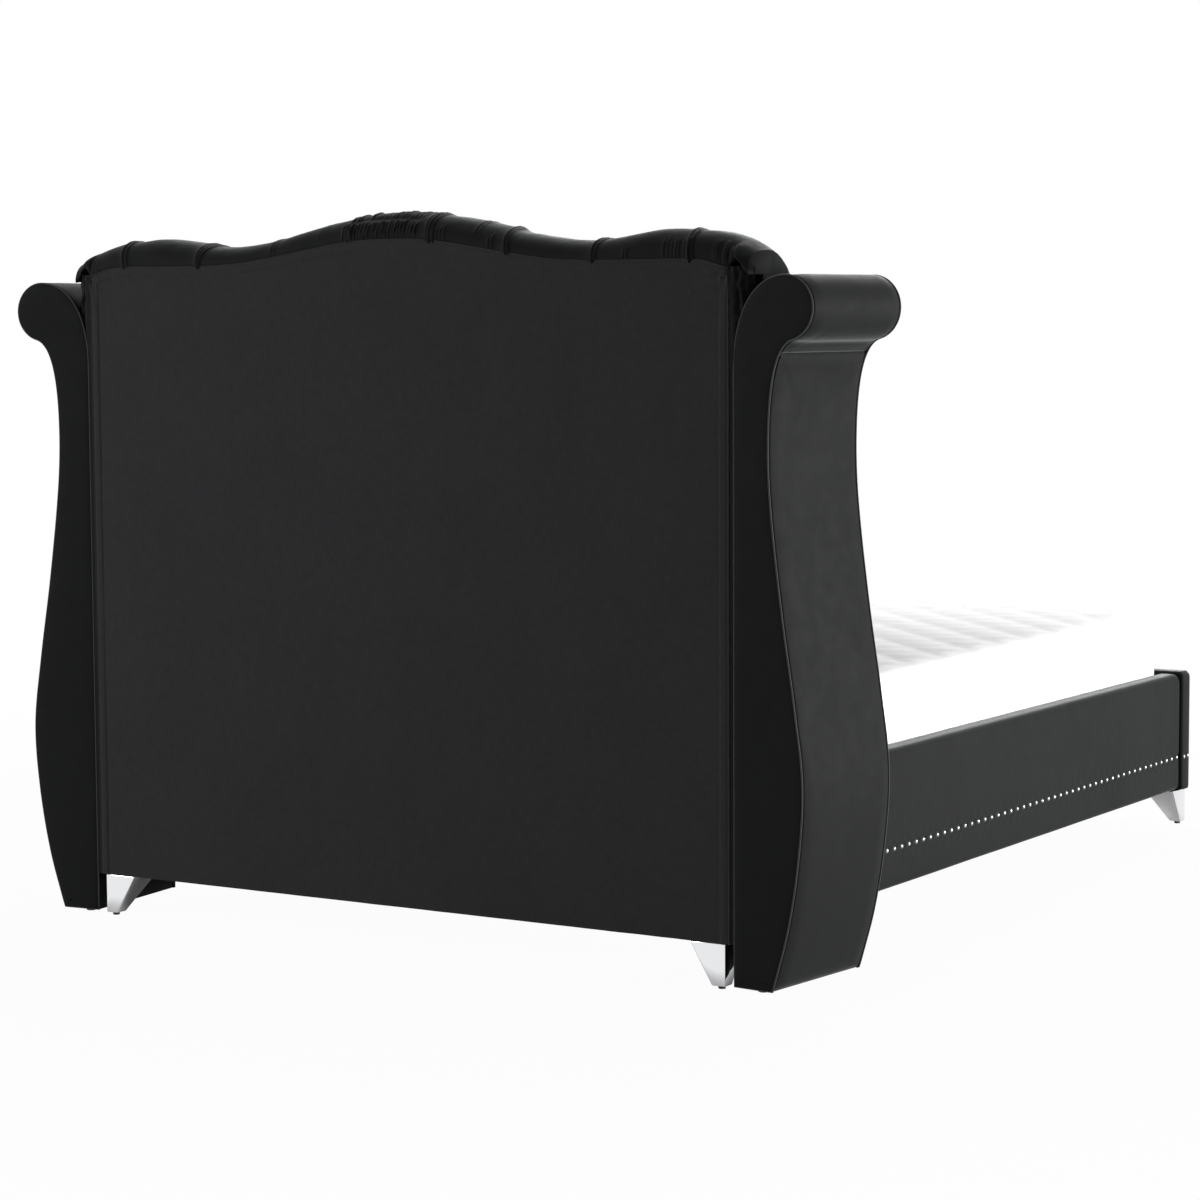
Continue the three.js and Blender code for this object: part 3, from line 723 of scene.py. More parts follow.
def side_line(z):
    """How far out the wing's outer side is, from its neck down over the belly to its foot."""
    swell, taper = BELLY - NECK, BELLY - BASE
    stops = [(-NECK_HEIGHT, NECK), (-0.675, NECK + 0.08 * swell), (-0.535, NECK + 0.4 * swell),
             (-0.405, NECK + 0.77 * swell), (-0.3, BELLY), (-0.2, BELLY - 0.12 * taper),
             (-0.098, BELLY - 0.47 * taper)]
    line = through([(share * WING_TOP, out) for share, out in stops] + [(-WING_FOOT, BASE)])
    return line(-z)


def wing_runs():
    """The inner, scroll and outer runs of the outline, each a list of (u, z)."""
    start = WING_TOP - BEND
    pulls = [(0, start), (0, start + 0.62 * BEND), (0.4 * SCROLL_REACH, WING_TOP), (SCROLL_REACH, WING_TOP)]
    inner = [Vector((0, z, 0)) for z in spread(WING_FOOT, start, 40)] + curve(pulls, 34)[1:]
    centre = Vector((SCROLL_REACH, WING_TOP - SCROLL, 0))
    turns = spread(math.pi / 2, SCROLL_TURNS_TO, 44)
    arc = [centre + SCROLL * Vector((math.cos(a), math.sin(a), 0)) for a in turns]
    heading = Vector((math.sin(SCROLL_TURNS_TO), -math.cos(SCROLL_TURNS_TO), 0))
    neck = Vector((NECK, NECK_HEIGHT * WING_TOP, 0))
    leaves = arc[-1] + 0.7 * SCROLL * heading
    meets = Vector((NECK, neck.y + 0.58 * (arc[-1].y - neck.y), 0))
    throat = curve([p[:2] for p in (arc[-1], leaves, meets, neck)], 30)
    lower = [Vector((side_line(z), z, 0)) for z in spread(NECK_HEIGHT * WING_TOP, WING_FOOT, 90)]
    return inner, arc + throat[1 : SEAM_AFTER + 1], throat[SEAM_AFTER:] + lower[1:]


def wing_place(side):
    """Puts (depth, u, z) of a wing where it stands in the bed."""
    cos, sin = math.cos(WING_FLARE), math.sin(WING_FLARE)

    def place(depth, u, z):
        return Vector((side * (WING_INNER + u * cos + depth * sin), BACK + u * sin - depth * cos, z))

    return place


def inset(run, distance):
    """The same run, moved into the wing."""
    moved = []
    for i, p in enumerate(run):
        along = (run[min(i + 1, len(run) - 1)] - run[max(i - 1, 0)]).normalized()
        moved.append(Vector((p.x + along.y * distance, p.y - along.x * distance, 0)))
    return moved


inner_run, scroll_run, side_run = wing_runs()
wing_outline = [*inner_run, *scroll_run[1:], *side_run[1:]]
print("wing outline:", len(inner_run), len(scroll_run), len(side_run), "points")

# %% [markdown]
# ## The wings' velvet
# Each wing is a shaped core with thin padded velvet on every side: one skin up its inner side,
# one round the scroll and one down its outer side, and a flat facing on its back and front. The
# skins are sewn to the facings and to each other, so each one is a shallow cushion whose edges
# roll down into the seam. A sleeve carries the skin's section through the wing's depth, and
# the relief adds the cushion, the seams and the small puckers where three seams meet.

# %% The wings' skins
SEAM_ROLL = 0.0032
SKIN_GAP = 0.0003
SKIN_EDGE = (0, 0.0005, 0.0013, 0.0024, 0.004, 0.008, 0.014)
FULL_SKIN, FLAT_SKIN = 0.0046, 0.0012
PUCKER = 0.0026
PUCKER_FOLDS = 0.0017
CREASE = 0.0012


def rolled_edge(distance, radius=SEAM_ROLL):
    """How far a padded edge drops towards its seam."""
    t = 1 - min(max(distance / radius, 0), 1)
    return -0.8 * radius * (1 - math.sqrt(1 - 0.96 * t * t))


def skin_depths():
    """Depths from the wing's back to its front, close together at both seams."""
    low, high = FACING + SKIN_GAP, WING_DEPTH - FACING - SKIN_GAP
    middle = spread(low + 0.02, high - 0.02, 34)
    return [low + d for d in SKIN_EDGE] + middle + [high - d for d in reversed(SKIN_EDGE)]


def drawn_back(run, distance):
    """The run with both its ends a little shorter."""
    def pull(end, following):
        return end + (following - end).normalized() * distance

    return [pull(run[0], run[1]), *run[1:-1], pull(run[-1], run[-2])]


def seam_pucker(depth, below):
    """Small folds that fan out from the corner where three seams meet, below the scroll."""
    reach = math.hypot(depth, below)
    fan = math.atan2(depth, below + 0.004)
    knot = PUCKER * math.exp(-(((reach - 0.006) / 0.005) ** 2))
    folds = PUCKER_FOLDS * math.exp(-reach / 0.03) * math.sin(9 * fan + 0.6) * ease(0, 0.006, reach)
    off = (depth - 0.55 * below - 0.012) / 0.006
    crease = CREASE * math.exp(-off * off) * ease(0, 0.015, below) * (1 - ease(0.05, 0.11, below))
    return knot + folds - crease


def make_skin(part, run, fullness, seed, hand, side):
    outer = drawn_back(run, SKIN_GAP)
    inner = drawn_back(inset(run, COVER), SKIN_GAP)
    outline = [(p.x, p.y) for p in [*outer, *reversed(inner)]]
    depths = skin_depths()
    gone = [0.0]
    for a, b in zip(outer, outer[1:]):
        gone.append(gone[-1] + (b - a).length)
    bm, spots = sleeve(depths, lambda depth: outline, wing_place(side))

    def relief(column, step, place):
        if step >= len(outer):
            return 0
        ends = min(gone[step], gone[-1] - gone[step])
        back = depths[column] - depths[0]
        edge = min(back, depths[-1] - depths[column])
        height = rolled_edge(edge) + rolled_edge(ends)
        height += fullness * math.sqrt(ease(-0.004, 0.030, edge)) * ease(0, 0.02, ends)
        height += 0.0007 * lumps(place, 0.22, seed) * ease(0, 0.02, edge)
        long_place = (place.x, place.y, place.z * 0.5)
        height += 0.00015 * lumps(long_place, 0.05, seed + 1) * ease(0, 0.01, edge)
        if part == "side_cover":
            height += seam_pucker(back, gone[step])
        if part == "scroll_cover":
            height += 0.6 * seam_pucker(back, gone[-1] - gone[step])
        return height

    raise_points(bm, spots, relief)
    skin = finished(f"wing_{part}_velvet_{hand}", bm, velvet, [f"wing_{part}_{hand}"])


print("a skin has", len(skin_depths()), "rows from back to front")

# %% [markdown]
# A facing is one flat face with the wing's outline, drawn out to a plate and then stepped in and
# raised five times, which rounds its edge. The seams between a facing and its skins hide behind
# a welt: a thin cord covered in velvet. That velvet is given a much paler colour than the rest,
# a painted highlight that stands for the light catching on the rounded cord, and so it draws the
# wing's outline as a fine line.

# %% The wings' facings and welts
FACING_RISE = 0.0024
FACING_STEPS = ((0.0005, 0.0010), (0.0009, 0.0008), (0.0018, 0.0006), (0.005, 0.0006), (0.014, 0.0006))
WELT = 0.0016
WELT_OUT = 0.0002
# Painted highlight: the welt's base colour is about ten times paler than the velvet's, so that the seams
# show as a bright line.
welt_velvet_painted_highlight = make_velvet("welt_velvet_painted_highlight", (0.04, 0.041, 0.0405), (0.09, 0.091, 0.0905), 0.6)


def make_facing(end, hand, side):
    """A flat velvet facing with a soft edge."""
    place = wing_place(side)
    hidden, edge = FACING, FACING_RISE
    if end == "front":
        hidden, edge = WING_DEPTH - FACING, WING_DEPTH - FACING_RISE
    bm = bmesh.new()
    face = bm.faces.new([bm.verts.new(place(hidden, p.x, p.y)) for p in wing_outline])
    grown = bmesh.ops.extrude_face_region(bm, geom=[face])["geom"]
    moved = [g for g in grown if isinstance(g, bmesh.types.BMVert)]
    bmesh.ops.translate(bm, verts=moved, vec=place(edge, 0, 0) - place(hidden, 0, 0))
    front = next(g for g in grown if isinstance(g, bmesh.types.BMFace))
    bmesh.ops.recalc_face_normals(bm, faces=bm.faces)
    for thickness, rise in FACING_STEPS:
        bmesh.ops.inset_region(bm, faces=[front], thickness=thickness, depth=rise, use_even_offset=True)
    nodes = [f"wing_{end}_facing_{hand}"]
    facing = finished(f"wing_{end}_facing_velvet_{hand}", bm, velvet, nodes)


def make_welt(end, hand, side):
    """The narrow velvet cord in the seam between a facing and the skins."""
    place = wing_place(side)
    depth = WELT if end == "back" else WING_DEPTH - WELT
    route = [place(depth, p.x, max(p.y, WING_FOOT + WELT)) for p in inset(wing_outline, -WELT_OUT)]
    tube(f"wing_{end}_welt_{hand}", route, WELT, welt_velvet_painted_highlight)


for hand, side in (("left", -1), ("right", 1)):
    make_welt("back", hand, side)
    make_welt("front", hand, side)
    make_skin("inner_cover", inner_run, FLAT_SKIN, 1, hand, side)
    make_skin("scroll_cover", scroll_run, FULL_SKIN, 2, hand, side)
    make_skin("side_cover", side_run, FULL_SKIN, 3, hand, side)
    make_facing("back", hand, side)
    make_facing("front", hand, side)

# %% [markdown]
# ## The tufted pad
# The headboard's pad is thick foam under velvet. On its front the velvet is drawn in by buttons
# set in diamonds, with folds from button to button. The top row's folds run straight up, over
# the rounded top and down the back, where the velvet is stapled and the cotton covers its edge.
# On a wavy top there is too much velvet in the hollows of the line and at the crown, so it is
# gathered there in fine pleats. One sleeve makes the whole pad: its section goes from the hem
# on the back over the top, down the front and back behind, and it is carried from one end to
# the other, with its columns closest where the pleats are.

# %% The pad's pleats
PAD_HALF = 0.783
LIP_RISE = 1.35
LIP_SOFT, LIP_SHARP = 0.008, 0.0016
GATHER_SHARP = 0.0019
draw = random.Random(11)


def pleat(low, crest, heights, apart=(0.008, 0.012), t=(-0.1, 1.6)):
    """A bundle of folded lips that starts at x = low by the hem and is at x = crest on top."""
    found = []
    for i, height in enumerate(heights):
        off = i - (len(heights) - 1) / 2
        found.append((low + off * apart[0], crest + off * apart[1], *t, height, LIP_SOFT, LIP_SHARP))
    return found


def gathers(low, high, t, height, pitch, lean):
    """Fine irregular pleats between two places."""
    found, x = [], low
    while x < high:
        rise = height * draw.uniform(0.45, 1.15)
        start = t[0] + draw.uniform(-0.06, 0.06)
        end = t[1] + draw.uniform(-0.12, 0.08)
        shift = lean + draw.uniform(-0.004, 0.004)
        found.append((x, x + shift, start, end, rise, draw.uniform(0.0018, 0.003), GATHER_SHARP))
        x += pitch * draw.uniform(0.75, 1.3)
    return found


LIPS = [
    *pleat(0.648, 0.676, (0.0022, 0.0030), (0.008, 0.011)),
    *pleat(0.463, 0.470, (0.0024, 0.0018, 0.0022), (0.003, 0.011)),
    *pleat(0.278, 0.290, (0.0009, 0.0012), t=(0.1, 1.4)),
    *pleat(0.092, 0.098, (0.0020, 0.0016)),
    *pleat(-0.096, -0.083, (0.0026, 0.0032, 0.0020), (0.006, 0.009)),
    *pleat(-0.271, -0.252, (0.0026, 0.0030), (0.007, 0.007)),
    *pleat(-0.460, -0.450, (0.0020, 0.0030), (0.006, 0.010)),
    *pleat(-0.668, -0.647, (0.0026, 0.0032), (0.007, 0.010)),
    *gathers(-0.068, 0.1, (0.62, 1.05), 0.0022, 0.0068, 0.012),
    *gathers(-0.060, 0.112, (0.10, 0.50), 0.0032, 0.0066, 0.005),
    *gathers(-0.128, -0.100, (0.0, 0.36), 0.0028, 0.0080, 0.006),
    *gathers(-0.205, -0.192, (0.4, 1.1), 0.0016, 0.0090, 0.012),
    *gathers(-0.236, -0.222, (0.0, 0.42), 0.0022, 0.0075, 0.010),
    *gathers(-0.530, -0.515, (0.0, 0.30), 0.0020, 0.0090, 0.006),
    *gathers(-0.662, -0.600, (0.0, 0.52), 0.0024, 0.0085, 0.010),
    *gathers(-0.760, -0.712, (0.0, 0.55), 0.0026, 0.0075, 0.012),
    *gathers(0.150, 0.175, (0.2, 0.8), 0.0008, 0.0100, 0.010),
    *gathers(0.725, 0.770, (0.0, 0.45), 0.0016, 0.0100, 0.010),
]


def lip_height(x, t, lips):
    """The lips' height at x. t runs from 0 at the hem over 1 at the crest to 2 on the front."""
    total = 0
    for low, crest, start, end, height, soft, sharp in lips:
        if start - 0.08 < t < end + 0.08:
            away = x - (low + (crest - low) * min(t, 1.3))
            shape = math.exp(-away / soft) if away >= 0 else math.exp(away / sharp)
            runs = ease(start - 0.08, start + 0.08, t) * (1 - ease(end - 0.08, end + 0.08, t))
            total += LIP_RISE * height * shape * runs
    return total


def pad_columns():
    """Shares from -1 to 1, close together where a lip or a gather is."""
    places, x = [], -PAD_HALF
    while x < PAD_HALF:
        places.append(x / PAD_HALF)
        nearest = min(min(abs(x - low), abs(x - crest)) for low, crest, *_ in LIPS)
        x += 0.0016 if nearest < 0.009 else 0.0035 if nearest < 0.02 else 0.0058
    return [*places, 1.0]


print(len(LIPS), "lips,", len(pad_columns()), "columns")

# %% [markdown]
# The section starts behind the cotton's upper edge, rolls up over the crest and over the brow to
# the flat face, turns under at the bottom and comes back up behind. Its ends are rounded, and
# they lean out with the wings.

# %% The pad's section and its place
PAD_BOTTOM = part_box("headboard_tufted_pad")[0].z
PANEL_FRONT = 0.048
FRONT = 0.172
CREST = 0.078
BROW = 0.095
BROW_FROM = 1.2
SOLE, SOLE_DEEP = 0.022, 0.03
TUCK = 0.0014
PAD_REACH = 0.031
ROWS = [("roll", t) for t in spread(0, 1, 28)]
ROWS += [("brow", t) for t in spread(0, 1, 21)[1:]]
ROWS += [("face", t) for t in spread(0, 0.885, 108)[1:] + spread(0.885, 1, 5)[1:]]
ROWS += [("sole", t) for t in spread(0, 1, 5)[1:]]
ROWS += [("rear", t) for t in range(7)]


def bend_out(z, reach):
    """How far the wing's inner side has bent outwards at a height, up to a reach."""
    for a, b in zip(inner_run, inner_run[1:]):
        if a.y <= z <= b.y:
            return min(a.x + (b.x - a.x) * (z - a.y) / max(b.y - a.y, 1e-6), reach)
    return reach


def pad_hem(x):
    """The lower edge of the roll on the back: the cloth's line, and past it an arched mouth."""
    past = min(max((abs(x) - CLOTH_HALF) / (PAD_HALF - CLOTH_HALF), 0), 1)
    tucked = 0.0006 - 0.003 * (1 - ease(0, 0.05, past))
    mouth = 0.015 * math.sin(math.pi * min(past * 1.5, 1)) - 0.014 * ease(0.6, 1, past)
    return cloth_top(x) + tucked + mouth


def pad_section(share):
    x = share * PAD_HALF
    hem, top = pad_hem(x), pad_top(share)
    rounded = max((abs(share) - 0.93) / 0.07, 0)
    front = FRONT - 0.03 * (1 - math.sqrt(max(1 - rounded * rounded, 0)))
    crest = CREST - 0.012 * rounded
    brow = min(BROW, 0.8 * (top - BROW_FROM))
    rear_depths = [PANEL_FRONT] * 5 + [0.03, 0.012]
    rear_heights = [PAD_BOTTOM, 0.6, 0.95, 1.2] + [hem + 0.001] * 3
    points = []
    for zone, t in ROWS:
        sin, cos = math.sin(t * math.pi / 2), math.cos(t * math.pi / 2)
        if zone == "roll":
            bulge = 0.006 * math.sin(t * math.pi) ** 0.8 if 0 < t < 1 else 0
            points.append((TUCK + (crest - TUCK) * (1 - cos) - bulge, hem + (top - hem) * sin))
        elif zone == "brow":
            points.append((crest + (front - crest) * sin, top - brow * (1 - cos)))
        elif zone == "face":
            points.append((front, top - brow + (PAD_BOTTOM + SOLE - top + brow) * t))
        elif zone == "sole":
            points.append((front - SOLE_DEEP * (1 - cos), PAD_BOTTOM + SOLE * (1 - sin)))
        else:
            points.append((rear_depths[t], rear_heights[t]))
    return points


def pad_place(share, depth, z):
    """The pad's ends follow the wings: outwards with their bend and forwards with their flare."""
    fan = max(depth, 0) * math.tan(WING_FLARE) * min(abs(share) * PAD_HALF / WING_INNER, 1)
    x = abs(share) * (WING_INNER - 0.001 + bend_out(z, PAD_REACH)) + fan
    return Vector((math.copysign(x, share), BACK - depth, z))


print("the pad's section has", len(ROWS), "points and reaches down to", round(PAD_BOTTOM, 3))

# %% [markdown]
# The diamonds are a pattern in two slanting directions: a point lies on a fold where either
# direction's count is whole, and on a button where both are. The product of two sine waves,
# flattened by a small power, swells between the folds and falls steeply into them.

# %% The tufting
BUTTON_PITCH = 0.185
BUTTON_ROW = 0.1
FIRST_ROW = 1.215
FOLD_DEPTH = 0.024
DIMPLE, DIMPLE_WIDE = 0.009, 0.017
DIMPLE_FOLDS, FOLDS_REACH = 0.0016, 0.028
BROW_FOLD = 0.019
BUTTON_RADIUS, BUTTON_RISE = 0.0125, 0.0070
BUTTON_SUNK = 0.0315
BUTTON_LAST_X = 0.71
BUTTON_LAST_Z = 0.06


def between_buttons(x):
    """Counts the button pitches from the first upright fold."""
    return (x - BUTTON_PITCH / 2) / BUTTON_PITCH


def tuft(x, z):
    """The tufting's depth on the front, from 0 on the crowns of the diamonds."""
    p = between_buttons(x)
    q = max((FIRST_ROW - z) / (2 * BUTTON_ROW), 0)
    swell = (abs(math.sin(math.pi * (p + q))) * abs(math.sin(math.pi * (p - q)))) ** 0.42
    a, b = p + q - round(p + q), p - q - round(p - q)
    reach = math.hypot((a + b) / 2 * BUTTON_PITCH, (a - b) * BUTTON_ROW)
    if z > FIRST_ROW:
        reach = math.hypot((p - round(p)) * BUTTON_PITCH, z - FIRST_ROW)
    fan = math.cos(10 * math.atan2(a - b, a + b))
    dimple = DIMPLE * math.exp(-((reach / DIMPLE_WIDE) ** 2))
    folds = DIMPLE_FOLDS * fan * math.exp(-reach / FOLDS_REACH) * ease(0, 0.02, reach)
    return FOLD_DEPTH * (1 - swell) + dimple - folds


def pad_relief(zone, t, place, room, lips):
    """The pad's folds, lips and tufting at a point. room is 0 at the pad's ends and 1 inside."""
    soft = 0.0012 * lumps(place, 0.09, 4) + 0.0006 * lumps(place, 0.03, 5)
    valley = 1 - abs(math.sin(math.pi * between_buttons(place.x))) ** 0.84
    if zone == "roll":
        gathered = ease(-0.07, -0.05, place.x) * (1 - ease(0.1, 0.12, place.x))
        swag = 0.0022 * math.exp(-(((t - 0.56) / 0.07) ** 2)) * gathered
        lip = lip_height(place.x, t, lips) * room
        return lip - 0.003 * valley * t + (soft - 0.0015) * min(5 * t, 1) - swag
    if zone == "brow":
        fold = (0.003 + 0.016 * ease(0, 1, t)) * valley
        return (lip_height(place.x, 1 + t, lips) - fold) * room + soft - 0.0015
    above = ease(FIRST_ROW, FIRST_ROW + 0.1, place.z)
    low = ease(PAD_BOTTOM, PAD_BOTTOM + 0.05, place.z)
    depth = tuft(place.x, place.z) * (1 - above) + BROW_FOLD * valley * above
    return -depth * room * low + 0.3 * soft - 0.0015


def make_pad():
    shares = pad_columns()
    bm, spots = sleeve(shares, pad_section, pad_place)
    near = [[lip for lip in LIPS if min(abs(share * PAD_HALF - x) for x in lip[:2]) < 0.045]
            for share in shares]

    def relief(column, step, place):
        zone, t = ROWS[step]
        if zone in ("sole", "rear"):
            return 0
        room = ease(0, 0.06, 1 - abs(shares[column]))
        return pad_relief(zone, t, place, room, near[column])

    raise_points(bm, spots, relief)
    pad = finished("headboard_pad", bm, velvet, ["headboard_tufted_pad"], sharp=80)


def make_buttons():
    """Velvet-covered buttons, one at the bottom of each dimple. Every second row is shifted."""
    bm = bmesh.new()
    shape = Matrix.Diagonal((BUTTON_RADIUS, BUTTON_RISE, BUTTON_RADIUS, 1))
    rows = math.ceil((FIRST_ROW - PAD_BOTTOM - BUTTON_LAST_Z) / BUTTON_ROW)
    count = 0
    for row in range(rows):
        shift = 0 if row % 2 else 0.5
        xs = [(i + shift) * BUTTON_PITCH for i in range(-4, 4)]
        for x in [x for x in xs if abs(x) < BUTTON_LAST_X]:
            place = (x, BACK - FRONT + BUTTON_SUNK, FIRST_ROW - row * BUTTON_ROW)
            made = bmesh.ops.create_uvsphere(bm, u_segments=14, v_segments=8, radius=1)["verts"]
            bmesh.ops.transform(bm, matrix=Matrix.Translation(place) @ shape, verts=made)
            count += 1
    print(count, "buttons in", rows, "rows")
    finished("tufting_buttons", bm, velvet)


make_pad()
make_buttons()

# %% [markdown]
# ## The pad's flanks
# At the headboard's two upper corners the velvet is pulled down between the roll's end and the
# wing's scroll and stapled to the frame's edge, where it lies in small crossing creases. Below
# that it is a narrow strip that wraps the frame's edge beside the cloth. A grid is laid over
# that space, moved back where it turns in, and creased by two sets of slanting ridges.

# %% The flanks
FLANK_REACH = 0.033
FLANK_THICK = 0.0004
FLANK_CLEAR = 0.0006
FLANK_FOLD_IN = 0.034
FLANK_RIM = 0.004
FLANK_TOP = 1.314
CREASED_FROM = 1.08


def flank_depth(past, z):
    """Depth of the flank at a distance past the cloth's edge."""
    high = ease(1.15, 1.29, z)
    beside = ease(0.0102, 0.018, past)
    turned_in = FLANK_FOLD_IN * ease(0.012, 0.07, past) * high
    ridge_a = abs(lumps((past * 1.4 + z * 0.55, 0, (z - past) * 0.35), 0.019, 8))
    ridge_b = abs(lumps((past * 1.1 - z * 0.75, 0, z * 0.3), 0.014, 9))
    crumple = (0.0075 * ridge_a + 0.005 * ridge_b) * ease(1.1, 1.2, z)
    off = (past - 0.020 - (1.312 - z) * 0.12) / 0.004
    rim = FLANK_RIM * math.exp(-off * off) * high
    return 0.0008 + beside * (turned_in + crumple) - (1 - beside) * 0.3 * crumple - rim


def make_flank(hand, side):
    heights = spread(CLOTH_BOTTOM, CREASED_FROM, 36) + spread(CREASED_FROM + 0.003, FLANK_TOP, 88)

    def place(share, z):
        width = WING_INNER - CLOTH_HALF + bend_out(z, FLANK_REACH) - FLANK_CLEAR
        past = 0.0004 + share * width
        return Vector((side * (CLOTH_HALF + past), BACK - flank_depth(past, z), z))

    bm = thin_sheet(spread(0, 1, 25), heights, place, FLANK_THICK)
    flank = finished(f"headboard_flank_{hand}", bm, velvet, sharp=80)


make_flank("left", -1)
make_flank("right", 1)

# %% [markdown]
# ## Side rails
# A rail is a board in thin foam and velvet. A row of nickel nails runs along it low down, 33 mm
# apart. Each nail pulls the velvet down, so there is a dimple round every head and a shallow
# groove from one to the next. The rail is a sleeve with a pocket for its board: columns come
# eight to a nail, and the rows are closest along the nails.

# %% The nails and the velvet round them
NAIL_PITCH = 0.0328
NAIL_HEIGHT = 0.165
NAIL_RADIUS, NAIL_RISE = 0.0052, 0.0030
NAIL_SUNK = 0.0018
NAIL_ROWS = (0.03, 0.022, 0.0165, 0.013, 0.0105, 0.0085, 0.0068, 0.0051, 0.0034, 0.0017)
GROOVE, DENT, PULLED = 0.0016, 0.0026, 0.0007


def nail_relief(along, height, nails):
    """The dimples round the nails and the groove that joins them."""
    off = height - NAIL_HEIGHT
    if abs(off) > 0.045:
        return 0
    nearest = min(nails, key=lambda nail: abs(nail - along))
    reach = math.hypot(along - nearest, off)
    covered = ease(nails[0] - 0.03, nails[0] - 0.01, along)
    covered *= 1 - ease(nails[-1] + 0.01, nails[-1] + 0.03, along)
    groove = GROOVE * math.exp(-((off / 0.0075) ** 2)) * covered
    dent = DENT * math.exp(-((reach / 0.0085) ** 2))
    wave = math.cos(math.tau * (along - nearest) / NAIL_PITCH) * ease(0.004, 0.012, abs(off))
    pulled = PULLED * math.exp(-((off / 0.016) ** 2)) * wave
    return -(groove + dent) + pulled * covered


def nail_head():
    """One nail head at the origin, facing up: a low dome with a flat underside."""
    bm = bmesh.new()
    bmesh.ops.create_uvsphere(bm, u_segments=12, v_segments=8, radius=1)
    cut = bmesh.ops.bisect_plane(bm, geom=[*bm.verts, *bm.edges, *bm.faces],
                                 plane_co=(0, 0, -0.2), plane_no=(0, 0, -1), clear_outer=True)
    rim = [g for g in cut["geom_cut"] if isinstance(g, bmesh.types.BMEdge)]
    bmesh.ops.holes_fill(bm, edges=rim, sides=0)
    shape = Matrix.Diagonal((NAIL_RADIUS, NAIL_RADIUS, NAIL_RISE, 1))
    bmesh.ops.transform(bm, matrix=shape, verts=bm.verts)
    mesh = bpy.data.meshes.new("nail_head")
    bm.to_mesh(mesh)
    bm.free()
    return mesh


def nail_strip(name, places):
    """Many nails as one mesh: one head is made and copied to every place."""
    head = nail_head()
    bm = bmesh.new()
    for place, outwards in places:
        before = len(bm.verts)
        bm.from_mesh(head)
        bm.verts.ensure_lookup_table()
        turn = outwards.to_track_quat("Z", "Y").to_matrix().to_4x4()
        bmesh.ops.transform(bm, matrix=Matrix.Translation(place) @ turn, verts=bm.verts[before:])
    bpy.data.meshes.remove(head)
    bmesh.ops.recalc_face_normals(bm, faces=bm.faces)
    print(len(places), "nails on", name)
    finished(name, bm, nickel)


# %% The padding of a board
CUSHION = 0.0016
POCKET_GAP = 0.0004


def rounded_rows(top, bottom, radius):
    """(inset, height) pairs down a padded face, from its rounded top to its rounded bottom."""
    turns = spread(0, math.pi / 2, 6)
    arc = [(radius * (1 - math.sin(a)), top - radius * (1 - math.cos(a))) for a in turns]
    upper = spread(top - radius - 0.012, NAIL_HEIGHT + 0.045, 9)
    fine = [NAIL_HEIGHT + d for d in NAIL_ROWS] + [NAIL_HEIGHT]
    fine += [NAIL_HEIGHT - d for d in reversed(NAIL_ROWS)]
    lower = spread(NAIL_HEIGHT - 0.04, bottom + radius + 0.006, 4)
    under = [(inset_by, bottom + top - z) for inset_by, z in reversed(arc)]
    return arc + [(0, z) for z in [*upper, *fine, *lower]] + under


def ends_first(low, high, count, ends):
    """Columns from low to high, with close ones at both ends."""
    inner = spread(low + ends[-1] + 0.003, high - ends[-1] - 0.003, count)
    return [low + e for e in ends] + inner + [high - e for e in reversed(ends)]


def corner_drop(edge, radius):
    """How much lower a rounded upper corner is, at a distance from the end."""
    corner = max(1 - edge / radius, 0)
    return radius * (1 - math.sqrt(max(1 - corner * corner, 0)))


def cushion(edge, z, low, high, flat_place, seed):
    """A padded board's fullness, and the slight waves of its velvet."""
    full = CUSHION * ease(0, 0.03, edge) * ease(0, 0.04, min(high - z, z - low))
    long_place = (flat_place[0], flat_place[1], flat_place[2] * 2)
    return full + 0.0007 * lumps(flat_place, 0.2, seed) + 0.0001 * lumps(long_place, 0.06, seed + 1)


print("nails", NAIL_PITCH * 1000, "mm apart, at a height of", NAIL_HEIGHT * 1000, "mm")

# %% The side rails
rail_low, rail_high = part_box("rail_cover_left")
board_low, board_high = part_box("rail_board_left")
RAIL_OUT, RAIL_IN = -rail_low.x, -rail_high.x
RAIL_THICK = RAIL_OUT - RAIL_IN
RAIL_ROUND = 0.013
RAIL_CORNER = 0.024
RAIL_DROP = (0.2, 0.366)
RAIL_ROLL = 0.006
RAIL_CLOSED = 0.006
RAIL_ENDS = (0, 0.0006, 0.0016, 0.003, 0.0052, 0.0056)
NAILS_FROM, NAILS_TO = rail_low.y + 0.012, rail_high.y - 0.25


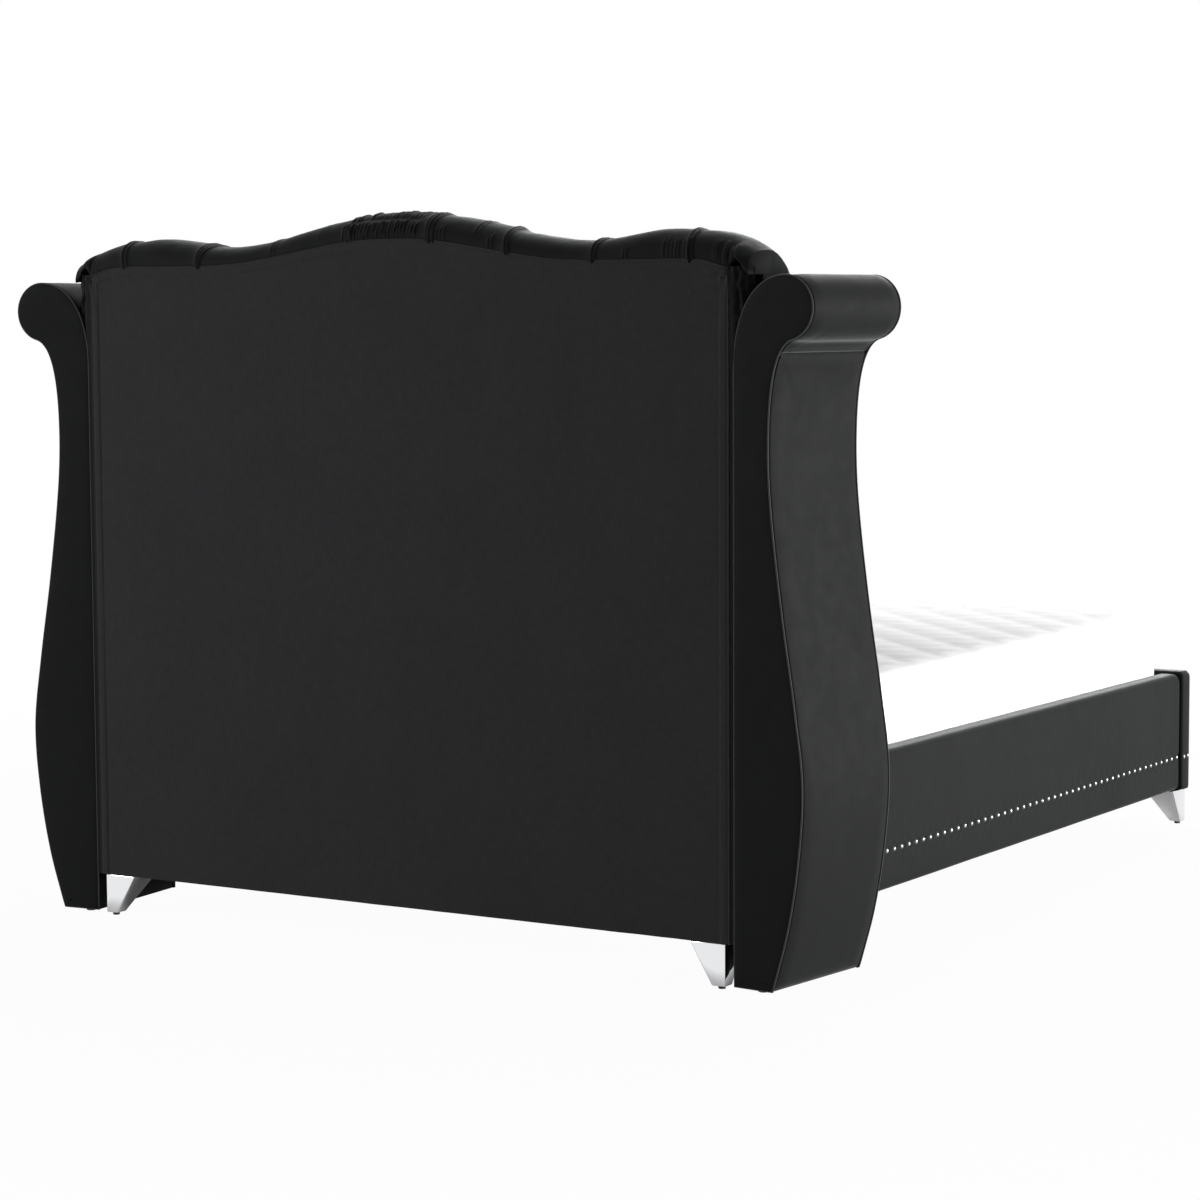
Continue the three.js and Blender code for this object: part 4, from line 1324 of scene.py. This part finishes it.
def make_rail(hand, side):
    outer = rounded_rows(rail_high.z, rail_low.z, RAIL_ROUND)
    pitches = int((NAILS_TO - NAILS_FROM) / NAIL_PITCH)
    nails = spread(NAILS_FROM, NAILS_FROM + NAIL_PITCH * pitches, pitches + 1)
    count = int((rail_high.y - rail_low.y) / NAIL_PITCH * 8)
    columns = ends_first(rail_low.y, rail_high.y, count, RAIL_ENDS)

    def section(y):
        drop = corner_drop(y - rail_low.y, RAIL_CORNER)
        edge = min(y - rail_low.y, rail_high.y - y)
        rolled = -rolled_edge(edge, RAIL_ROLL)
        top = rail_high.z - drop - 0.6 * rolled
        skin = [(0, top), (0.5 * RAIL_THICK, top)]
        skin += [(RAIL_THICK - inset_by - rolled, z - drop * ease(*RAIL_DROP, z)) for inset_by, z in outer]
        skin += [(0.5 * RAIL_THICK, rail_low.z), (0, rail_low.z)]
        deep = board_high.x - board_low.x + POCKET_GAP
        if edge < RAIL_CLOSED - POCKET_GAP:
            deep = 0.0002
        low, high = board_low.z - POCKET_GAP, board_high.z + POCKET_GAP - drop
        return skin + [(0, low), (deep, low), (deep, high), (0, high)]

    def place(y, out, z):
        return Vector((side * (RAIL_IN + out), y, z))

    def relief(column, step, spot):
        if not 2 <= step < 2 + len(outer):
            return 0
        y = columns[column]
        edge = min(y - rail_low.y, rail_high.y - y)
        soft = cushion(edge, spot.z, rail_low.z, rail_high.z, (0, spot.y, spot.z), 6)
        return soft + nail_relief(y, spot.z, nails)

    bm, spots = sleeve(columns, section, place)
    raise_points(bm, spots, relief)
    rail = finished(f"rail_velvet_{hand}", bm, velvet, [f"rail_cover_{hand}"])
    face = side * (RAIL_OUT - NAIL_SUNK)
    heads = [(Vector((face, y, NAIL_HEIGHT)), Vector((side, 0, 0))) for y in nails]
    nail_strip(f"rail_nails_{hand}", heads)


make_rail("left", -1)
make_rail("right", 1)

# %% [markdown]
# ## Footboard
# The low footboard is made like the rails, across the foot of the bed: foam and velvet round a
# board, open below where the board goes in. The row of nails turns the corner, with two nails on
# each end, and goes on along its outer face. At the ends the velvet is folded over like a
# parcel, which leaves one slanting fold at each upper corner.

# %% The footboard
foot_low, foot_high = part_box("footboard_cover")
core_low, core_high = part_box("footboard_core")
FOOT_THICK = foot_high.y - foot_low.y
FOOT_ROUND = 0.008
FOOT_CORNER = 0.012
FOOT_DROP = (0.2, 0.37)
FOOT_ROLL = 0.008
FOOT_ENDS = (0, 0.0008, 0.002, 0.004, 0.0065, 0.0098, 0.0104)
FOOT_INNER = [(0, 0.33), (0, 0.25), (0, 0.17), (0, 0.1), (0.004, foot_low.z)]
END_NAILS = (0.24, 0.76)
PARCEL_FOLD = 0.0016


def make_footboard():
    outer = rounded_rows(foot_high.z, foot_low.z, FOOT_ROUND)
    inner = [(d, z) for d, z in outer if z > foot_high.z - FOOT_ROUND - 0.0001] + FOOT_INNER
    half = foot_high.x
    count = 2 * int(half / NAIL_PITCH) + 1
    nails = [(i - (count - 1) / 2) * NAIL_PITCH for i in range(count)]
    columns = ends_first(-half, half, count * 8, FOOT_ENDS)
    pocket = half - core_high.x - POCKET_GAP
    near, far = core_low.y - foot_low.y - POCKET_GAP, core_high.y - foot_low.y + POCKET_GAP

    def section(x):
        edge = half - abs(x)
        drop = corner_drop(edge, FOOT_CORNER)
        rolled = -rolled_edge(edge, FOOT_ROLL)
        skin = [(rolled + d, z - drop * ease(*FOOT_DROP, z)) for d, z in reversed(inner)]
        skin += [(FOOT_THICK - d - rolled, z - drop * ease(*FOOT_DROP, z)) for d, z in outer]
        ceiling = foot_low.z + (0.0003 if edge < pocket else core_high.z - core_low.z + POCKET_GAP)
        return skin + [(far, foot_low.z), (far, ceiling), (near, ceiling), (near, foot_low.z)]

    def place(x, out, z):
        return Vector((x, foot_high.y - out, z))

    def relief(column, step, spot):
        if step >= len(inner) + len(outer):
            return 0
        x = columns[column]
        edge = half - abs(x)
        height = cushion(edge, spot.z, foot_low.z, foot_high.z, (spot.x, 0, spot.z), 12)
        fold = (foot_high.z - spot.z - 0.9 * edge) / 0.004
        height -= PARCEL_FOLD * math.exp(-fold * fold) * (1 - ease(0.03, 0.045, edge))
        if step >= len(inner):
            height += nail_relief(x, spot.z, nails)
        return height

    bm, spots = sleeve(columns, section, place)
    raise_points(bm, spots, relief)
    footboard = finished("footboard_velvet", bm, velvet, ["footboard_cover"])
    heads = [(Vector((x, foot_low.y + NAIL_SUNK, NAIL_HEIGHT)), Vector((0, -1, 0))) for x in nails]
    for side in (-1, 1):
        for share in END_NAILS:
            spot = Vector((side * (half - 0.0002), foot_high.y - share * FOOT_THICK, NAIL_HEIGHT))
            heads.append((spot, Vector((side, 0, 0))))
    nail_strip("footboard_nails", heads)


make_footboard()

# %% [markdown]
# ## Legs, timber and steel
# The other pieces are hard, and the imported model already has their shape. Real ones never have
# knife edges: chrome legs are cast and polished, boards are sanded, and plates are punched. So
# each is a copy of its CAD mesh with the loose triangles merged, the flat faces joined and the
# sharp edges bevelled, and the bevel catches the light as the real edge does.

# %% Hard pieces
def bevelled(node, finish, width, segments=2):
    bm = bmesh.new()
    bm.from_mesh(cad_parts[node].data)
    bmesh.ops.remove_doubles(bm, verts=bm.verts, dist=1e-5)
    bmesh.ops.dissolve_limit(bm, angle_limit=math.radians(0.5), verts=bm.verts, edges=bm.edges)
    sharp = [e for e in bm.edges if len(e.link_faces) == 2 and e.calc_face_angle() > math.radians(40)]
    bmesh.ops.bevel(bm, geom=sharp, offset=width, segments=segments, profile=0.5, affect="EDGES",
                    material=-1, clamp_overlap=True)
    bmesh.ops.recalc_face_normals(bm, faces=bm.faces)
    return finished(f"{node}_piece", bm, finish, [node], sharp=35)


for name in ("head_left", "head_right", "foot_left", "foot_right"):
    bevelled(f"leg_{name}", chrome, 0.0024, 3)
    bevelled(f"leg_glide_{name}", glide_plastic, 0.0008)
for hand in ("left", "right"):
    bevelled(f"wing_glide_rear_{hand}", glide_plastic, 0.0012)
    bevelled(f"wing_glide_front_{hand}", glide_plastic, 0.0012)
    bevelled(f"headboard_stile_{hand}", pine["Z"], 0.0015)
    bevelled(f"rail_board_{hand}", pine["Y"], 0.0008)
    bevelled(f"slat_ledge_{hand}", pine["Y"], 0.002)
    for end in ("head", "foot"):
        bevelled(f"rail_bracket_{end}_{hand}", coated_steel, 0.0006)
for node in ("headboard_bottom_rail", "headboard_middle_rail", "footboard_core"):
    bevelled(node, pine["X"], 0.0015)
bevelled("centre_beam", pine["Y"], 0.003)
for node in ("beam_saddle_head", "beam_saddle_foot"):
    bevelled(node, coated_steel, 0.0006)
for node in ("beam_post_1", "beam_post_2"):
    bevelled(node, pine["Z"], 0.002)
for number in range(1, 11):
    bevelled(f"slat_{number}", birch, 0.003, 3)

# %% [markdown]
# ## What stays as it is
# The crest board, the front panel and the wings' cores are inside the upholstery. They keep their
# CAD meshes and only get a finish: plywood for the boards, black foam round the wings' frames.

# %% Finishes for the pieces inside
def make_foam(name):
    """Black foam cut from a block: small open cells."""
    finish = Finish(name, Specular_IOR_Level=0.1)
    cells = finish.node("ShaderNodeTexVoronoi", {}, {"Vector": finish.place(), "Scale": 600})
    patches = finish.grain(0.12, 2)
    colour = finish.mix(0.7 * cells + 0.3 * patches, (0.004, 0.004, 0.0042), (0.02, 0.02, 0.021))
    relief = finish.bump(cells, 0.5, 0.0012)
    return finish.feed(Base_Color=colour, Roughness=0.9 - 0.1 * cells, Normal=relief)


inside_ply = make_wood("poplar_ply", (0.45, 0.33, 0.2), (0.68, 0.53, 0.36), "X")
core_foam = make_foam("black_core_foam")
for node, finish in (("headboard_crest_board", inside_ply), ("headboard_front_panel", inside_ply),
                     ("wing_core_left", core_foam), ("wing_core_right", core_foam)):
    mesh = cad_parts[node].data
    mesh.materials.clear()
    mesh.materials.append(finish)
print("finishes given to the inside pieces")

# %% [markdown]
# ## Mattress
# A mattress is a foam block in white ticking. Its top is quilted: the cover is sewn through a
# layer of wadding in diamonds, which stand up between the lines. The side is a band with a
# row of upright lines, and a tape covers the seam at its upper and lower edge. A copy of the
# CAD solid is remeshed into even squares, and each point then moves along its normal.

# %% The mattress
bed_low, bed_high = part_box("mattress")
SQUARE = 0.0135
QUILT = 0.105
ROOT_TWO = 1.4142
QUILT_RISE, QUILT_CROWN = 0.0035, 0.004
RIB_PITCH, RIB_RISE = 0.062, 0.0012
TAPE_RADIUS = 0.0042
TAPE_FROM_EDGE = 0.020
TAPE_IN = 0.0015
TAPE_CORNER = 0.045


def even_squares(node, size):
    """The node's shape as a new mesh of even squares."""
    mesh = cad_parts[node].data.copy()
    rough = linked(f"{node}_rough", mesh)
    remesh = rough.modifiers.new("even_squares", "REMESH")
    remesh.mode = "VOXEL"
    remesh.voxel_size = size
    bm = as_evaluated(rough)
    bpy.data.meshes.remove(mesh)
    return bm


def quilted(place):
    """How far the ticking stands up from its seams."""
    top = ease(bed_high.z - 0.03, bed_high.z - 0.004, place.z)
    slants = [(place.x + way * place.y) / QUILT / ROOT_TWO for way in (1, -1)]
    diamonds = math.prod(abs(math.sin(math.pi * slant)) for slant in slants) ** 0.5
    inside = ease(0.02, 0.07, min(bed_high.x - abs(place.x), place.y - bed_low.y, bed_high.y - place.y))
    along = place.x if abs(place.x) < bed_high.x - 0.05 else place.y
    ribs = abs(math.sin(math.pi * along / RIB_PITCH)) ** 0.5
    low = ease(bed_low.z + 0.01, bed_low.z + 0.05, place.z)
    crown = ((diamonds - 0.75) * QUILT_RISE + QUILT_CROWN) * inside
    return top * crown + (1 - top) * low * RIB_RISE * (ribs - 1)


def rounded_rectangle(half_x, low_y, high_y, corner, z, steps=10):
    """A closed route round a bed-sized rectangle, corner by corner."""
    right, left, head, foot = half_x - corner, corner - half_x, high_y - corner, low_y + corner
    route = []
    for turn, (cx, cy) in enumerate(((right, head), (left, head), (left, foot), (right, foot))):
        for angle in spread(turn * math.pi / 2, (turn + 1) * math.pi / 2, steps):
            route.append(Vector((cx + corner * math.cos(angle), cy + corner * math.sin(angle), z)))
    return route


def make_mattress():
    bm = even_squares("mattress", SQUARE)
    bmesh.ops.smooth_vert(bm, verts=bm.verts, factor=0.5,
                          use_axis_x=True, use_axis_y=True, use_axis_z=True)
    push_out(bm, [quilted(v.co) - 0.001 + 0.0012 * lumps(v.co, 0.3, 20) for v in bm.verts])
    mattress = finished("quilted_mattress", bm, ticking, ["mattress"],
                        body="mattress", sharp=80)
    for name, z in (("upper", bed_high.z - TAPE_FROM_EDGE), ("lower", bed_low.z + TAPE_FROM_EDGE)):
        route = rounded_rectangle(bed_high.x - TAPE_IN, bed_low.y + TAPE_IN, bed_high.y - TAPE_IN,
                                  TAPE_CORNER, z)
        tube(f"mattress_tape_{name}", route, TAPE_RADIUS, tape, "mattress")


make_mattress()

# %% [markdown]
# ## Sizes
# The box of the CAD model and the box of what was made here are compared, and how far each
# side has grown is printed in millimetres.

# %% Compare the sizes and finish
made_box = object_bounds()
grown = [[round((m - c) * 1000, 1) for m, c in zip(*pair)] for pair in zip(made_box, cad_box)]
print("grown by, in mm:", grown)
